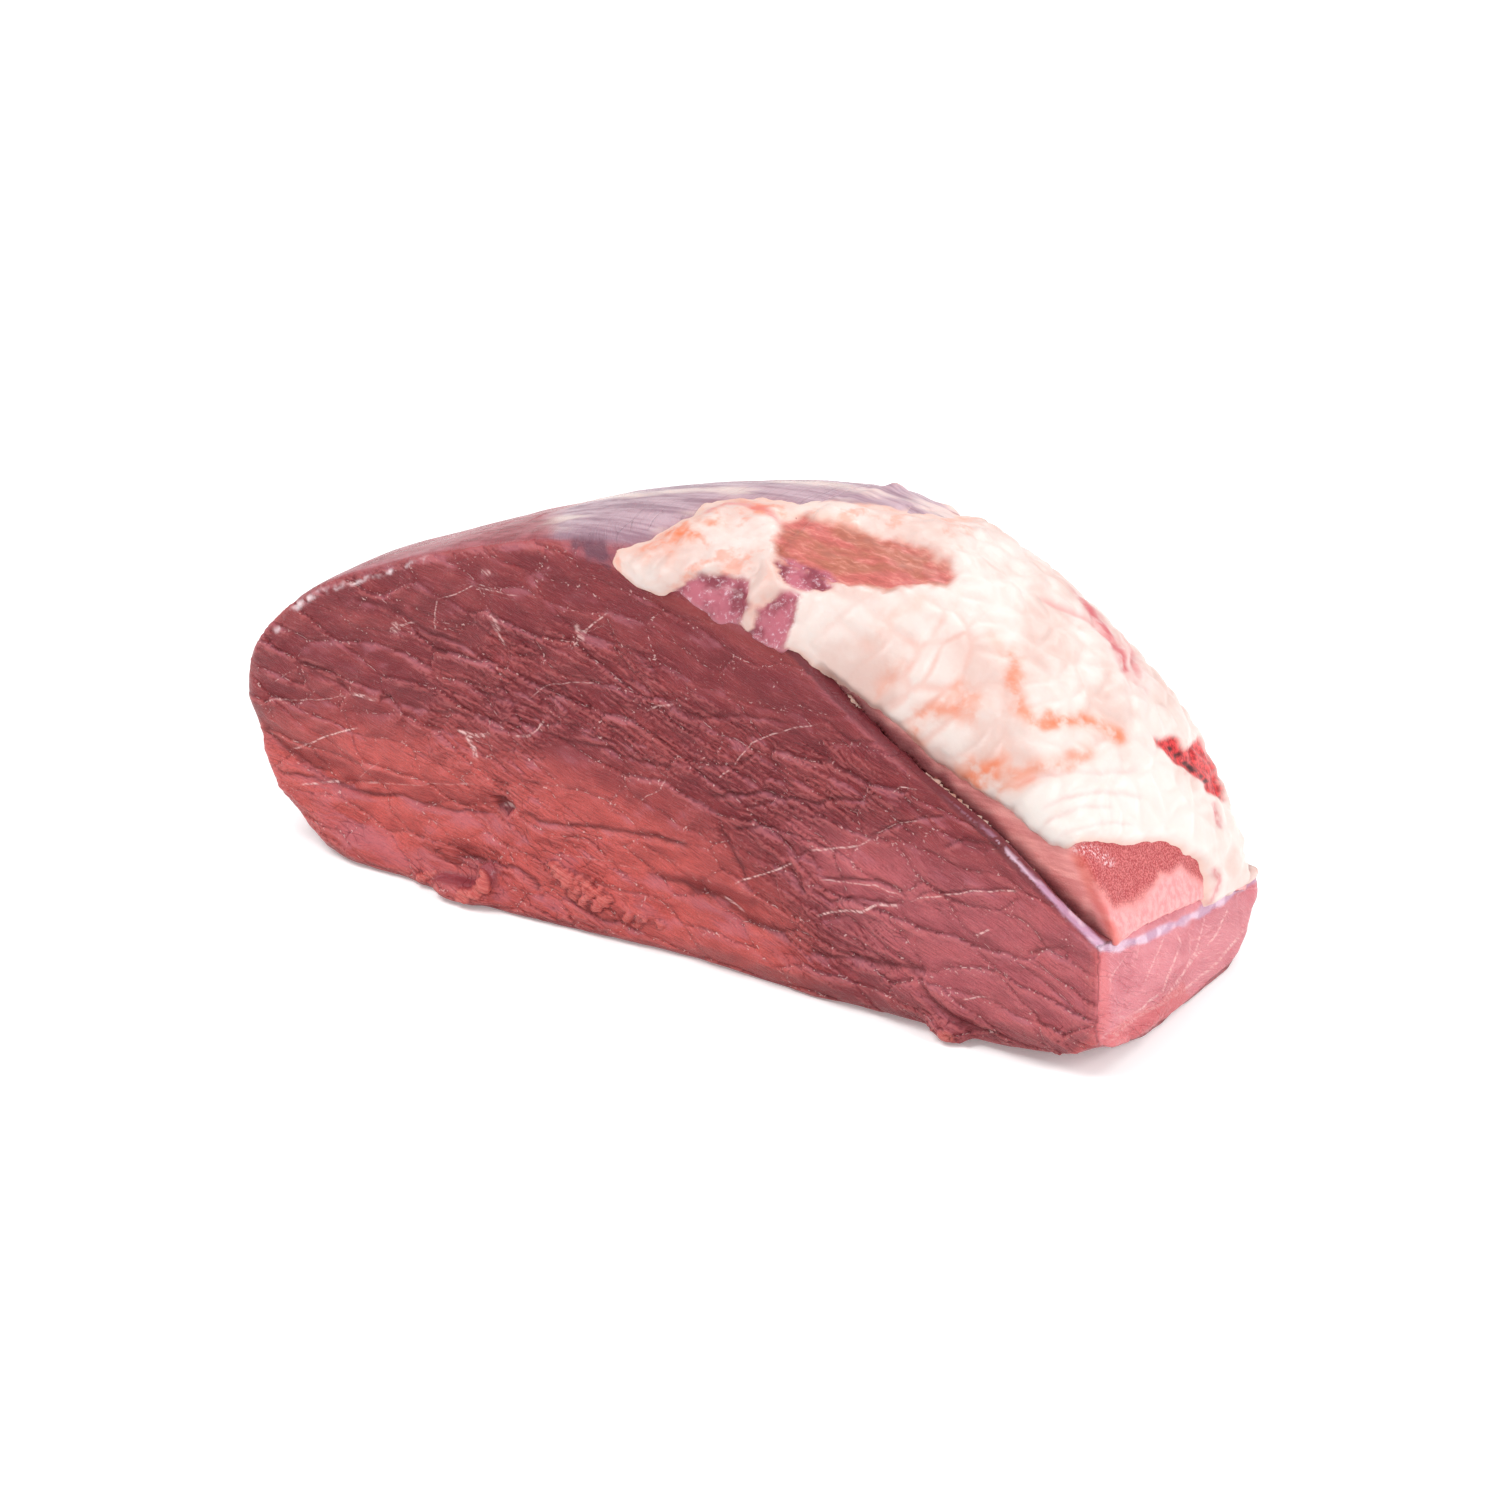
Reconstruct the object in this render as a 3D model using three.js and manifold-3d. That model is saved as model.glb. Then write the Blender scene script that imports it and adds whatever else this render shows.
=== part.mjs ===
// A raw buffalo topside joint: a thick lean muscle with a flat cut face, a thinner cap muscle
// lying over its right half behind an open seam, and a layer of fat over both.
// Millimetres. +X runs along the cut face to the end face, +Y runs back, +Z is up.
import * as THREE from "three";
import { mergeVertices } from "three/addons/utils/BufferGeometryUtils.js";
import Module from "manifold-3d";

const wasm = await Module();
wasm.setup();

// Overall size: the cut face lies at y = 0, from the round left tip to the end face at END_X
const TIP_X = -36;
const END_X = 234;
const EDGE_INSET = 2.2; // rounding round the end face
const END_BULGE = 0.6; // the end face stands proud by this much in its middle
const CORNER_ROUNDING = 2.5; // along the cut face's lower and upper edges
const FOOT_INSET = 13; // the underside is this much shorter than the back's bulge
const GAP = 0.3; // between solids that touch
const SINK = 1.5; // an upper layer is modelled this deep into the lower one, then cut to fit it

// Profiles along x, as x and a height or a depth
const FACE_TOP = [
  [TIP_X, 43], [-34, 50], [-29, 60], [-16.8, 72.8], [0, 84], [22, 94], [48, 103.4],
  [74, 110], [90, 109], [104, 104.5], [129, 100], [144, 97.8], [158, 88.3], [171, 79.2],
  [188, 70], [202, 62], [215, 52], [225, 44.5], [END_X, 39],
];
const FACE_BOTTOM = [
  [TIP_X, 43], [-33.5, 33], [-30.8, 24], [-26, 14.5], [-17.2, 7], [-9, 2], [2, 0], [20, 0],
];
const FACE_FRONT = [[TIP_X, 4.5], [-34.5, 1.8], [-32.5, 0.5], [-30, 0], [0, 0]];
const BACK = [
  [TIP_X, 4.5], [-30, 49], [-20, 69], [0, 88], [25, 98], [50, 104], [100, 113], [150, 113],
  [200, 103], [END_X, 90],
];
const CREST = [
  [TIP_X, 43], [-29, 60.5], [-16.8, 73.6], [0, 85], [22, 95], [48, 105.5], [74, 113.4],
  [100, 117.8], [120, 119.6], [140, 118.8], [160, 113], [180, 102.5], [195, 92.5], [208, 82], [218, 71],
  [226, 55], [232, 41],
];
const CREST_BACK = [[TIP_X, 6], [0, 8], [50, 13], [100, 34], [150, 47], [200, 50], [END_X, 44]];
// Exponent of the superellipse from the crest to the back
const BACK_ROUNDNESS = [[TIP_X, 1.8], [60, 2.1], [200, 2.1], [END_X, 1.3]];
const BULGE_SHARE = [[TIP_X, 0.3], [180, 0.3], [END_X, 0.42]]; // height of the back's widest point
// The foot of the cut face: it sticks out at the left and is rounded up at the right corner
const TOE = [[-20, 0], [0, 4], [20, 4], [38, 5.4], [54, 5.6], [70, 4.4], [85, 2.8], [105, 0.5], [130, 0]];
const TOE_HEIGHT = 13;
const CORNER_LIFT = [[150, 0], [180, 1.8], [215, 3.6], [229, 7.5], [END_X, 12]];
const CORNER_LIFT_REACH = 34;

// The seam between the lean and the cap, as x and measure
const SEAM_START = 143;
const SEAM_DEPTH = [[SEAM_START, 0], [158, 3.2], [180, 6], [205, 7], [222, 6.5], [END_X, 2]];
const SEAM_WIDTH = [[SEAM_START, 1.2], [158, 4.5], [180, 7.2], [205, 8.2], [222, 8.4], [END_X, 7]];
const CAP_FRONT_TOP = [
  [SEAM_START, 98], [150, 94], [158, 90.4], [167, 85.6], [173, 80.8], [180, 75], [186, 72],
  [197, 67.8], [203, 66.2], [211, 61.4], [217, 59.5], [222, 59], [228, 53], [232, 46],
];
const CAP_THICKNESS = [[128, 0], [140, 3.5], [160, 10], [180, 15], [205, 20], [220, 20], [END_X, 14]];
const CAP_START = 131;
const CAP_END = 231.6;
const CAP_LEAN = 1.6; // the cap's cut sides lean inwards by this much
const CAP_BACK_SHARE = [[CAP_START, 0.82], [200, 0.82], [CAP_END, 0.78]]; // from the crest to the back
const CAP_FEATHER = 1.2;
const CAP_ROUNDNESS = 2.1;

// The fat: its thickness, and its edges. Left and right are x over the share from front to back;
// the back edge is a place, 1 at the crest and 2 at the back's widest point, over x
const FAT_THICKNESS = 3.4;
const FAT_EDGE = 1.5;
const FAT_OVERHANG = 1.2;
const FAT_LEFT = [[0, 88.5], [0.42, 93.8], [0.6, 97], [0.76, 99.6], [0.92, 100], [1, 104]];
const FAT_RIGHT = [
  [0, 219.5], [0.11, 221.3], [0.27, 224], [0.38, 226], [0.51, 228], [0.58, 229.3], [0.66, 230.4],
  [0.73, 231.8], [0.76, 233], [0.8, 233.6], [1, 233.6],
];
const FAT_HANG_END = 233.6; // from CAP_END to here the fat hangs down the cap's end
const FAT_BACK = [
  [88, 0.9], [104, 1.03], [122, 0.94], [131, 0.98], [137, 1.05], [142, 1.09], [148, 1.2],
  [165, 1.36], [190, 1.5], [CAP_END, 1.55],
];

// Relief
const BUNDLE_LONG = 17;
const BUNDLE_WIDE = 8;
const BUNDLE_SLOPE = -0.35; // radians that the bundles lean down to the right
const BUNDLE_RELIEF = 1.1;
const LOBULE_SIZE = 15;
const LOBULE_RELIEF = 0.9;
// Grid
const STATION_STEP = 4.8;
const ROWS = { bottom: 7, front: 22, lip: 3, rise: 6, fall: 11, under: 4 };

const { lerp, clamp, smoothstep } = THREE.MathUtils;

// A smooth curve through the points, held level past its ends
function through(points) {
  const xs = points.map((p) => p[0]);
  const curve = new THREE.CubicInterpolant(xs, points.map((p) => p[1]), 1);
  return (x) => curve.evaluate(clamp(x, xs[0], xs.at(-1)))[0];
}

// The same along the joint, over the root of the distance from the tip so that the tip is round
function along(points) {
  const root = (x) => Math.sqrt(Math.max(0, x - TIP_X));
  const curve = through(points.map(([x, value]) => [root(x), value]));
  return (x) => curve(root(x));
}

const faceTop = along(FACE_TOP);
const faceBottom = along(FACE_BOTTOM);
const faceFront = along(FACE_FRONT);
const back = along(BACK);
const crest = along(CREST);
const crestBack = through(CREST_BACK);
const backRoundness = through(BACK_ROUNDNESS);
const bulgeShare = through(BULGE_SHARE);
const toe = through(TOE);
const cornerLift = through(CORNER_LIFT);
const seamDepth = through(SEAM_DEPTH);
const seamWidth = through(SEAM_WIDTH);
const capFrontTop = through(CAP_FRONT_TOP);
const capThickness = through(CAP_THICKNESS);
const capBackShare = through(CAP_BACK_SHARE);
const fatLeft = through(FAT_LEFT);
const fatRight = through(FAT_RIGHT);
const fatBack = through(FAT_BACK);

// The fall of a superellipse of exponent n: 1 at t = 0, 0 at t = 1
const fall = (t, n) => Math.pow(Math.max(0, 1 - Math.pow(clamp(t, 0, 1), n)), 1 / n);

// A fixed random number for a grid cell
function cellNoise(i, j, k) {
  const s = Math.sin(i * 127.1 + j * 311.7 + k * 74.7) * 43758.5453;
  return s - Math.floor(s);
}

// Distances from (u, v) to the nearest and second nearest of one random point per unit cell
function cells(u, v) {
  const best = [9, 9];
  for (let i = Math.floor(u) - 1; i <= Math.floor(u) + 1; i++)
    for (let j = Math.floor(v) - 1; j <= Math.floor(v) + 1; j++) {
      const d = Math.hypot(i + cellNoise(i, j, 1) - u, j + cellNoise(i, j, 2) - v);
      if (d < best[0]) best.splice(0, 2, d, best[0]);
      else if (d < best[1]) best[1] = d;
    }
  return best;
}

// Muscle bundles that the knife left standing: each is a low ridge along the grain
function bundleRelief(x, z) {
  const lengthwise = x * Math.cos(BUNDLE_SLOPE) + z * Math.sin(BUNDLE_SLOPE);
  const across = -x * Math.sin(BUNDLE_SLOPE) + z * Math.cos(BUNDLE_SLOPE);
  const [nearest, second] = cells(lengthwise / BUNDLE_LONG, across / BUNDLE_WIDE);
  return BUNDLE_RELIEF * (smoothstep(second - nearest, 0, 0.45) - 0.6);
}

// Ledges where the face was cut in two levels: from and to on the face, with depth and width
const LEDGES = [
  { from: [-30, 30], to: [-4, 22], depth: 2.6, width: 5 },
  { from: [-4, 22], to: [55, 27], depth: 2.2, width: 4.5 },
  { from: [-2, 12.5], to: [42, 5], depth: 1.6, width: 4 },
  { from: [36, 10], to: [106, 10], depth: 2, width: 4 },
  { from: [95, 24], to: [131, 20], depth: 1.6, width: 4 },
  { from: [116, 20], to: [166, 9], depth: 1.8, width: 4.5 },
  { from: [54, 12], to: [92, 11], depth: -2.4, width: 5 },
];
function ledgeRelief(x, z) {
  let sum = 0;
  for (const { from, to, depth, width } of LEDGES) {
    const [dx, dz] = [to[0] - from[0], to[1] - from[1]];
    const t = clamp(((x - from[0]) * dx + (z - from[1]) * dz) / (dx * dx + dz * dz), 0, 1);
    const away = Math.hypot(x - from[0] - t * dx, z - from[1] - t * dz) / width;
    sum -= depth * Math.exp(-away * away);
  }
  return sum;
}

// How far the cut face stands proud at a place; it fades out at the face's own edges
function faceRelief(x, z, low, high) {
  const rim = smoothstep(Math.min(z - low, high - z), 0.5, 7) * smoothstep(END_X - x, 0, 8);
  return rim * bundleRelief(x, z) + smoothstep(high - z, 0, 8) * ledgeRelief(x, z);
}

const inSeam = (x) => smoothstep(x, SEAM_START, SEAM_START + 4);

// What a layer's section needs at x: where its top starts, its crest and its widest point
function leanSection(x) {
  const start = faceFront(x) + seamWidth(x) * inSeam(x) + 1;
  const startHeight = faceTop(x) - seamDepth(x);
  return {
    start,
    startHeight,
    crestY: Math.max(start + 1.5, lerp(crestBack(x), start + 1.5, smoothstep(x, 180, END_X))),
    crestHeight: Math.max(crest(x) - capThickness(x), startHeight + 0.8),
    end: back(x),
    endHeight: lerp(faceBottom(x), faceTop(x), bulgeShare(x)),
    roundness: backRoundness(x),
  };
}
function capSection(x) {
  const start = faceFront(x) + seamWidth(x) * inSeam(x) + 1 + GAP;
  const startHeight = x < SEAM_START ? faceTop(x) : capFrontTop(x);
  return {
    ...leanSection(x),
    start,
    startHeight,
    crestY: Math.max(start + 6, crestBack(x)),
    crestHeight: Math.max(crest(x), lerp(startHeight + 1.5, startHeight - 4, smoothstep(x, 215, 232))),
    roundness: CAP_ROUNDNESS,
  };
}

// The height of a layer over y
function heightAt(section, y) {
  const { start, startHeight, crestY, crestHeight, end, endHeight, roundness } = section;
  if (y <= crestY) {
    const t = clamp((crestY - y) / (crestY - start), 0, 1);
    return startHeight + (crestHeight - startHeight) * Math.sqrt(1 - t * t);
  }
  return endHeight + (crestHeight - endHeight) * fall((y - crestY) / (end - crestY), roundness);
}

// The y of a place along the top: 0 at its start, 1 at the crest, 2 at the widest point
function placeAt({ start, crestY, end }, t) {
  if (t <= 1) return crestY - (crestY - start) * Math.cos((t * Math.PI) / 2);
  return crestY + (end - crestY) * Math.sin(((t - 1) * Math.PI) / 2);
}

// One closed loop round the lean at x, from the underside's back, forwards, up and over
function leanLoop(x) {
  const s = leanSection(x);
  const [front, low, high] = [faceFront(x), faceBottom(x), faceTop(x)];
  const corner = Math.min(CORNER_ROUNDING, (high - low) / 6);
  const foot = Math.max(lerp(front, s.end, 0.6), s.end - FOOT_INSET);
  const toeFront = front - toe(x);
  const loop = [];
  for (let i = 0; i < ROWS.bottom; i++) {
    const y = lerp(foot, toeFront + Math.min(3, (foot - front) / 3), i / (ROWS.bottom - 1));
    const near = clamp(1 - (y - front) / CORNER_LIFT_REACH, 0, 1);
    loop.push([y, low + cornerLift(x) * near ** 1.3]);
  }
  const edge = low + cornerLift(x);
  for (let i = 0; i < ROWS.front; i++) {
    const z = lerp(edge + corner, high - corner / 2, i / (ROWS.front - 1));
    const turn = Math.max(0, 1 - (z - edge) / (2.4 * corner));
    const out = toe(x) * (1 - smoothstep(z, 2, TOE_HEIGHT)) + faceRelief(x, z, edge, high);
    loop.push([front + 0.9 * turn * corner - out, z]);
  }
  for (let i = 1; i <= ROWS.lip; i++) {
    const t = i / ROWS.lip;
    const dip = (high - s.startHeight) * t * t;
    loop.push([front + (s.start - front) * (0.12 + 0.88 * t), high - dip]);
  }
  for (let i = 1; i <= ROWS.rise; i++) {
    const y = placeAt(s, i / ROWS.rise);
    loop.push([y, heightAt(s, y)]);
  }
  for (let i = 1; i <= ROWS.fall; i++) {
    const y = placeAt(s, 1 + i / ROWS.fall);
    loop.push([y, heightAt(s, y)]);
  }
  for (let i = 1; i < ROWS.under; i++) {
    const a = ((i / ROWS.under) * Math.PI) / 2;
    loop.push([foot + (s.end - foot) * Math.cos(a), s.endHeight - (s.endHeight - low) * Math.sin(a)]);
  }
  return loop;
}

// Stations along X, closer together where the left end rounds off
function stations() {
  const list = [];
  const tipSteps = 9;
  for (let i = 1; i <= tipSteps; i++) list.push(TIP_X * (1 - (i / tipSteps) ** 2));
  const steps = Math.round((END_X - EDGE_INSET) / STATION_STEP);
  for (let i = 1; i <= steps; i++) list.push((i / steps) * (END_X - EDGE_INSET));
  return list;
}

// Closes a row of loops, each an array of THREE.Vector3, with a point at each end
function skin(loops, first, last) {
  const n = loops[0].length;
  const points = [first, ...loops.flat(), last];
  const index = [];
  for (let j = 0; j < n; j++) {
    const k = (j + 1) % n;
    index.push(0, 1 + j, 1 + k);
    for (let i = 0; i < loops.length - 1; i++) {
      const [a, b] = [1 + i * n + j, 1 + i * n + k];
      index.push(a, b + n, b, a, a + n, b + n);
    }
    const base = 1 + (loops.length - 1) * n;
    index.push(base + k, base + j, points.length - 1);
  }
  const geometry = new THREE.BufferGeometry().setFromPoints(points);
  return geometry.setIndex(index);
}

const middleOf = (loop) =>
  loop.reduce((sum, p) => sum.add(p), new THREE.Vector3()).divideScalar(loop.length);

// The end face: the last loop drawn in over rounded edges, then rings to its middle
function endRings(loop) {
  const middle = middleOf(loop);
  const edge = Math.max(...loop.map((p) => p.y)) / 2;
  const rings = [
    { share: 0.45 * (EDGE_INSET / edge), x: END_X - 1.1 },
    { share: EDGE_INSET / edge, x: END_X - 0.2 },
    { share: 0.2, x: END_X },
    { share: 0.4, x: END_X + 0.5 * END_BULGE },
    { share: 0.6, x: END_X + 0.8 * END_BULGE },
    { share: 0.8, x: END_X + END_BULGE },
  ];
  const made = rings.map(({ share, x }) =>
    loop.map((p) => new THREE.Vector3(x, lerp(p.y, middle.y, share), lerp(p.z, middle.z, share))),
  );
  return { made, middle: new THREE.Vector3(END_X + END_BULGE, middle.y, middle.z) };
}

function leanGeometry() {
  const loops = stations().map((x) => leanLoop(x).map(([y, z]) => new THREE.Vector3(x, y, z)));
  const { made, middle } = endRings(loops.at(-1));
  const tip = new THREE.Vector3(TIP_X, faceFront(TIP_X), faceTop(TIP_X));
  return skin([...loops, ...made], tip, middle);
}

// The muscle's top surface, where the cap feathers out to a thin edge on the lean
const capTop = (x, y) =>
  Math.max(heightAt(capSection(x), y), heightAt(leanSection(x), y) + GAP + CAP_FEATHER);

// A slab between two grids of points, upper[i][j] over lower[i][j], with walls round its edge
function slab(upper, lower) {
  const [m, n] = [upper.length, upper[0].length];
  const index = [];
  const at = (layer, i, j) => layer * m * n + i * n + j;
  const quad = (a, b, c, d) => index.push(a, b, c, a, c, d);
  for (let i = 0; i < m - 1; i++)
    for (let j = 0; j < n - 1; j++) {
      quad(at(0, i, j), at(0, i + 1, j), at(0, i + 1, j + 1), at(0, i, j + 1));
      quad(at(1, i, j), at(1, i, j + 1), at(1, i + 1, j + 1), at(1, i + 1, j));
    }
  for (let i = 0; i < m - 1; i++) {
    quad(at(0, i, 0), at(1, i, 0), at(1, i + 1, 0), at(0, i + 1, 0));
    quad(at(0, i + 1, n - 1), at(1, i + 1, n - 1), at(1, i, n - 1), at(0, i, n - 1));
  }
  for (let j = 0; j < n - 1; j++) {
    quad(at(0, 0, j + 1), at(1, 0, j + 1), at(1, 0, j), at(0, 0, j));
    quad(at(0, m - 1, j), at(1, m - 1, j), at(1, m - 1, j + 1), at(0, m - 1, j + 1));
  }
  const geometry = new THREE.BufferGeometry().setFromPoints([...upper.flat(), ...lower.flat()]);
  return geometry.setIndex(index);
}

// The cap muscle, from the seam back over the lean's right half
function capGeometry() {
  const [lengthwise, across] = [20, 13];
  const grid = (height, lean) =>
    Array.from({ length: lengthwise + 1 }, (_, i) => {
      const share = Math.sin(((i / lengthwise) * Math.PI) / 2);
      const x = lerp(CAP_START, CAP_END, share);
      return Array.from({ length: across + 1 }, (_, j) => {
        const last = 1 + (Math.asin(capBackShare(x)) * 2) / Math.PI;
        const y = placeAt(capSection(x), (j / across) * last);
        const forward = lean * inSeam(x) * Math.max(0, 1 - j);
        return new THREE.Vector3(x + lean * share ** 8, y - forward, height(x, y));
      });
    });
  return slab(grid(capTop, 0), grid((x, y) => heightAt(leanSection(x), y) - SINK, CAP_LEAN));
}

// Rounded lobules of the fat
function lobules(x, y) {
  const [nearest, second] = cells(x / LOBULE_SIZE + 40, y / LOBULE_SIZE);
  return LOBULE_RELIEF * (smoothstep(second - nearest, 0, 0.5) - 0.4);
}

// A point of the surface that the fat covers; past CAP_END it runs down the cap's end
function fatGround(x, y) {
  const under = Math.min(x, CAP_END);
  const top = under > CAP_START ? capTop(under, y) : heightAt(leanSection(under), y);
  const drop = clamp((x - CAP_END) / (FAT_HANG_END - CAP_END), 0, 1);
  const foot = heightAt(leanSection(CAP_END), y) + GAP + 0.5;
  return new THREE.Vector3(under + CAP_LEAN * drop, y, lerp(top, Math.min(top, foot), drop));
}

function fatNormal(x, y) {
  const step = 0.4;
  const alongX = fatGround(x + step, y).sub(fatGround(x - step, y));
  const alongY = fatGround(x, y + step).sub(fatGround(x, y - step));
  return alongX.cross(alongY).normalize();
}

function fatGeometry() {
  const [lengthwise, across] = [30, 18];
  const upper = [];
  const lower = [];
  for (let i = 0; i <= lengthwise; i++) {
    upper.push([]);
    lower.push([]);
    for (let j = 0; j <= across; j++) {
      const share = j / across;
      const turn = Math.sin(((i / lengthwise) * Math.PI) / 2);
      const x = lerp(fatLeft(share), fatRight(share), turn);
      const s = capSection(x);
      const y = placeAt({ ...s, start: s.start - FAT_OVERHANG * inSeam(x) }, share * fatBack(x));
      const inward = Math.min(i, lengthwise - i, j, across - j);
      const relief = lobules(x, y) * smoothstep(inward, 0, 3);
      const thick = lerp(FAT_EDGE, FAT_THICKNESS, smoothstep(inward, 0, 4)) + relief;
      const ground = fatGround(x, y);
      const normal = fatNormal(x, y);
      lower[i].push(ground.clone().addScaledVector(normal, j === 0 ? 0 : -SINK));
      upper[i].push(ground.clone().addScaledVector(normal, GAP + thick));
    }
  }
  return slab(upper, lower);
}

// A closed geometry as a solid that can be joined and cut
function solidOf(geometry) {
  const plain = geometry.clone();
  plain.deleteAttribute("normal");
  plain.deleteAttribute("uv");
  const merged = mergeVertices(plain, 1e-3);
  return new wasm.Manifold(
    new wasm.Mesh({
      numProp: 3,
      vertProperties: merged.attributes.position.array,
      triVerts: new Uint32Array(merged.index.array),
    }),
  );
}

// An upper layer cut to lie on a lower one: the lower is first grown by the gap between them
function fitted(upper, lower) {
  const merged = mergeVertices(lower, 1e-3);
  merged.computeVertexNormals();
  const { position, normal } = merged.attributes;
  for (let i = 0; i < position.array.length; i++) position.array[i] += GAP * normal.array[i];
  return upper.subtract(solidOf(merged));
}

// The largest body of a solid, without the crumbs that a cut leaves
const largest = (solid) => solid.decompose().sort((a, b) => b.volume() - a.volume())[0];

function geometryOf(solid) {
  const { vertProperties, triVerts } = solid.getMesh();
  const geometry = new THREE.BufferGeometry();
  geometry.setAttribute("position", new THREE.BufferAttribute(vertProperties, 3));
  return geometry.setIndex(new THREE.BufferAttribute(triVerts, 1));
}

// Bare patches where the fat is cut away: outlines in x and y from above, and in x and z at the front
const BARE_ABOVE = [
  [
    [130, 14.5], [126.5, 20], [126.5, 27], [134, 28], [143, 29], [152, 32], [160, 35.5], [168, 39],
    [174, 40.5], [174, 35], [169, 27], [159, 18], [150, 13.5], [147.5, 10.5], [143, 6.5], [138, 7.5],
  ],
];
const BARE_IN_FRONT = [
  [[110, 99], [112, 104.5], [117, 108], [125, 111.5], [132, 110.5], [130.5, 107], [129, 103], [132, 97]],
  [[136, 95], [135.5, 103], [137, 107], [142, 109.5], [145.5, 107], [146, 95]],
];
const FRONT_CUT_DEPTH = 5;
function prism(outline, depth) {
  const shape = new THREE.Shape(outline.map(([u, v]) => new THREE.Vector2(u, v)));
  return new THREE.ExtrudeGeometry(shape, { depth, bevelEnabled: false });
}
const fromAbove = (outline) => solidOf(prism(outline, 100).translate(0, 0, 45));
const fromFront = (outline) =>
  solidOf(prism(outline, 2 * FRONT_CUT_DEPTH).rotateX(Math.PI / 2).translate(0, FRONT_CUT_DEPTH, 0));

// Loose scraps and flaps at the face's foot and the back corner, as ellipsoids: centre and half sizes
const SCRAPS = [
  { at: [42, -3.6, 3.4], half: [11, 4, 3.3], turn: 0 },
  { at: [49.5, -2, 8], half: [3, 3.6, 5], turn: 0.25 },
  { at: [74, 1, 15.5], half: [6, 3.6, 3.6], turn: -0.45 },
  { at: [83, 0.8, 12], half: [6.5, 3.8, 3.2], turn: -0.3 },
  { at: [96, 0.8, 11], half: [7, 3.4, 2.6], turn: -0.1 },
  { at: [191, 1, 3.6], half: [6.5, 3, 2.8], turn: -0.2 },
  { at: [232.6, 87, 19], half: [1.8, 3.2, 6], turn: 0.2 },
  { at: [233.2, 31, 5], half: [1.8, 13, 2.9], turn: 0 },
];
function scrapSolid({ at, half, turn }) {
  const lump = new THREE.SphereGeometry(1, 10, 7).scale(...half).rotateY(-turn);
  return solidOf(lump.translate(...at));
}

function mesh(name, geometry, color, roughness) {
  const made = new THREE.Mesh(
    geometry,
    new THREE.MeshStandardMaterial({ color, roughness, metalness: 0 }),
  );
  made.name = name;
  return made;
}

const leanShape = leanGeometry();
const capShape = capGeometry();
const lean = SCRAPS.reduce((solid, scrap) => solid.add(scrapSolid(scrap)), solidOf(leanShape));
const cap = largest(fitted(solidOf(capShape), leanShape));
const patches = [...BARE_ABOVE.map(fromAbove), ...BARE_IN_FRONT.map(fromFront)];
const wholeFat = fitted(fitted(solidOf(fatGeometry()), leanShape), capShape);
const fat = largest(patches.reduce((solid, patch) => solid.subtract(patch), wholeFat));

const joint = new THREE.Group();
joint.add(
  mesh("lean", geometryOf(lean), "#8e3b3e", 0.4),
  mesh("cap_muscle", geometryOf(cap), "#b0605c", 0.4),
  mesh("fat_cap", geometryOf(fat), "#f3ddd2", 0.5),
);

// The origin is the middle of the joint's box, on the surface it lies on
const box = new THREE.Box3().setFromObject(joint, true);
const middle = box.getCenter(new THREE.Vector3());
joint.position.set(-middle.x, -middle.y, -box.min.z);

export default joint;
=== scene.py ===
"""The looks of a raw buffalo topside joint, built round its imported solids.

Shapes are worked out in millimetres in the frame's axes: +X along the cut face to the right,
+Y back, +Z up. Places taken from the photograph are in its pixels, across and down, and land
on whatever surface the camera sees there.
"""

import math

import bmesh
import bpy
import numpy as np
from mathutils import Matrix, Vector
from mathutils.bvhtree import BVHTree


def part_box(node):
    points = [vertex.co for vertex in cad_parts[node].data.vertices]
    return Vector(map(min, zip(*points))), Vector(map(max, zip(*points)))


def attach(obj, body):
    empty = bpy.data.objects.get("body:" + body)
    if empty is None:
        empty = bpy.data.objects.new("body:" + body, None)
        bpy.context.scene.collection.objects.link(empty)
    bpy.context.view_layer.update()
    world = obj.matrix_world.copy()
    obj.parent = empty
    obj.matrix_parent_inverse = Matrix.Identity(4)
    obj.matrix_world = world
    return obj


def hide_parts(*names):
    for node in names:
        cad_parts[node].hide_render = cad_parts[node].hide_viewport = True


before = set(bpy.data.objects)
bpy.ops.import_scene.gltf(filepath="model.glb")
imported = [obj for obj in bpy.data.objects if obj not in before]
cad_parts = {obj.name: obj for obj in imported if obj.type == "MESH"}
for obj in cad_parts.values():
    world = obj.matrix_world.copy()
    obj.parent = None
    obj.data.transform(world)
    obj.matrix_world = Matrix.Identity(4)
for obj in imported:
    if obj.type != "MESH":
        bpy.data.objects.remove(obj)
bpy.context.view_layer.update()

MM = 0.001
PICTURE = 1500  # pixels along each side of the photograph

# Camera, as fitted to the photograph
CAMERA_AT = np.array((0.542737, -0.839399, 0.504280))
CAMERA_AIM = np.array((-0.000235, -0.003296, 0.0394))
LENS = 97.68
SENSOR = 36.0


# Noise and places in the photograph


def smoothstep(x, low, high):
    t = np.clip((x - low) / (high - low), 0, 1)
    return t * t * (3 - 2 * t)


def mix(a, b, t):
    return a + (b - a) * t


def hashed(cell, seed):
    """A fixed random number from 0 to 1 for each row of whole numbers."""
    h = np.full(cell.shape[0], seed * 374761393 + 668265263, np.int64)
    for column, prime in zip(cell.T, (73856093, 19349663, 83492791)):
        h = (h ^ (column.astype(np.int64) * prime)) & 0xFFFFFFFF
        h = ((h ^ (h >> 15)) * 2246822519) & 0xFFFFFFFF
        h = h ^ (h >> 13)
    return (h & 0xFFFFFF) / float(0xFFFFFF)


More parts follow.
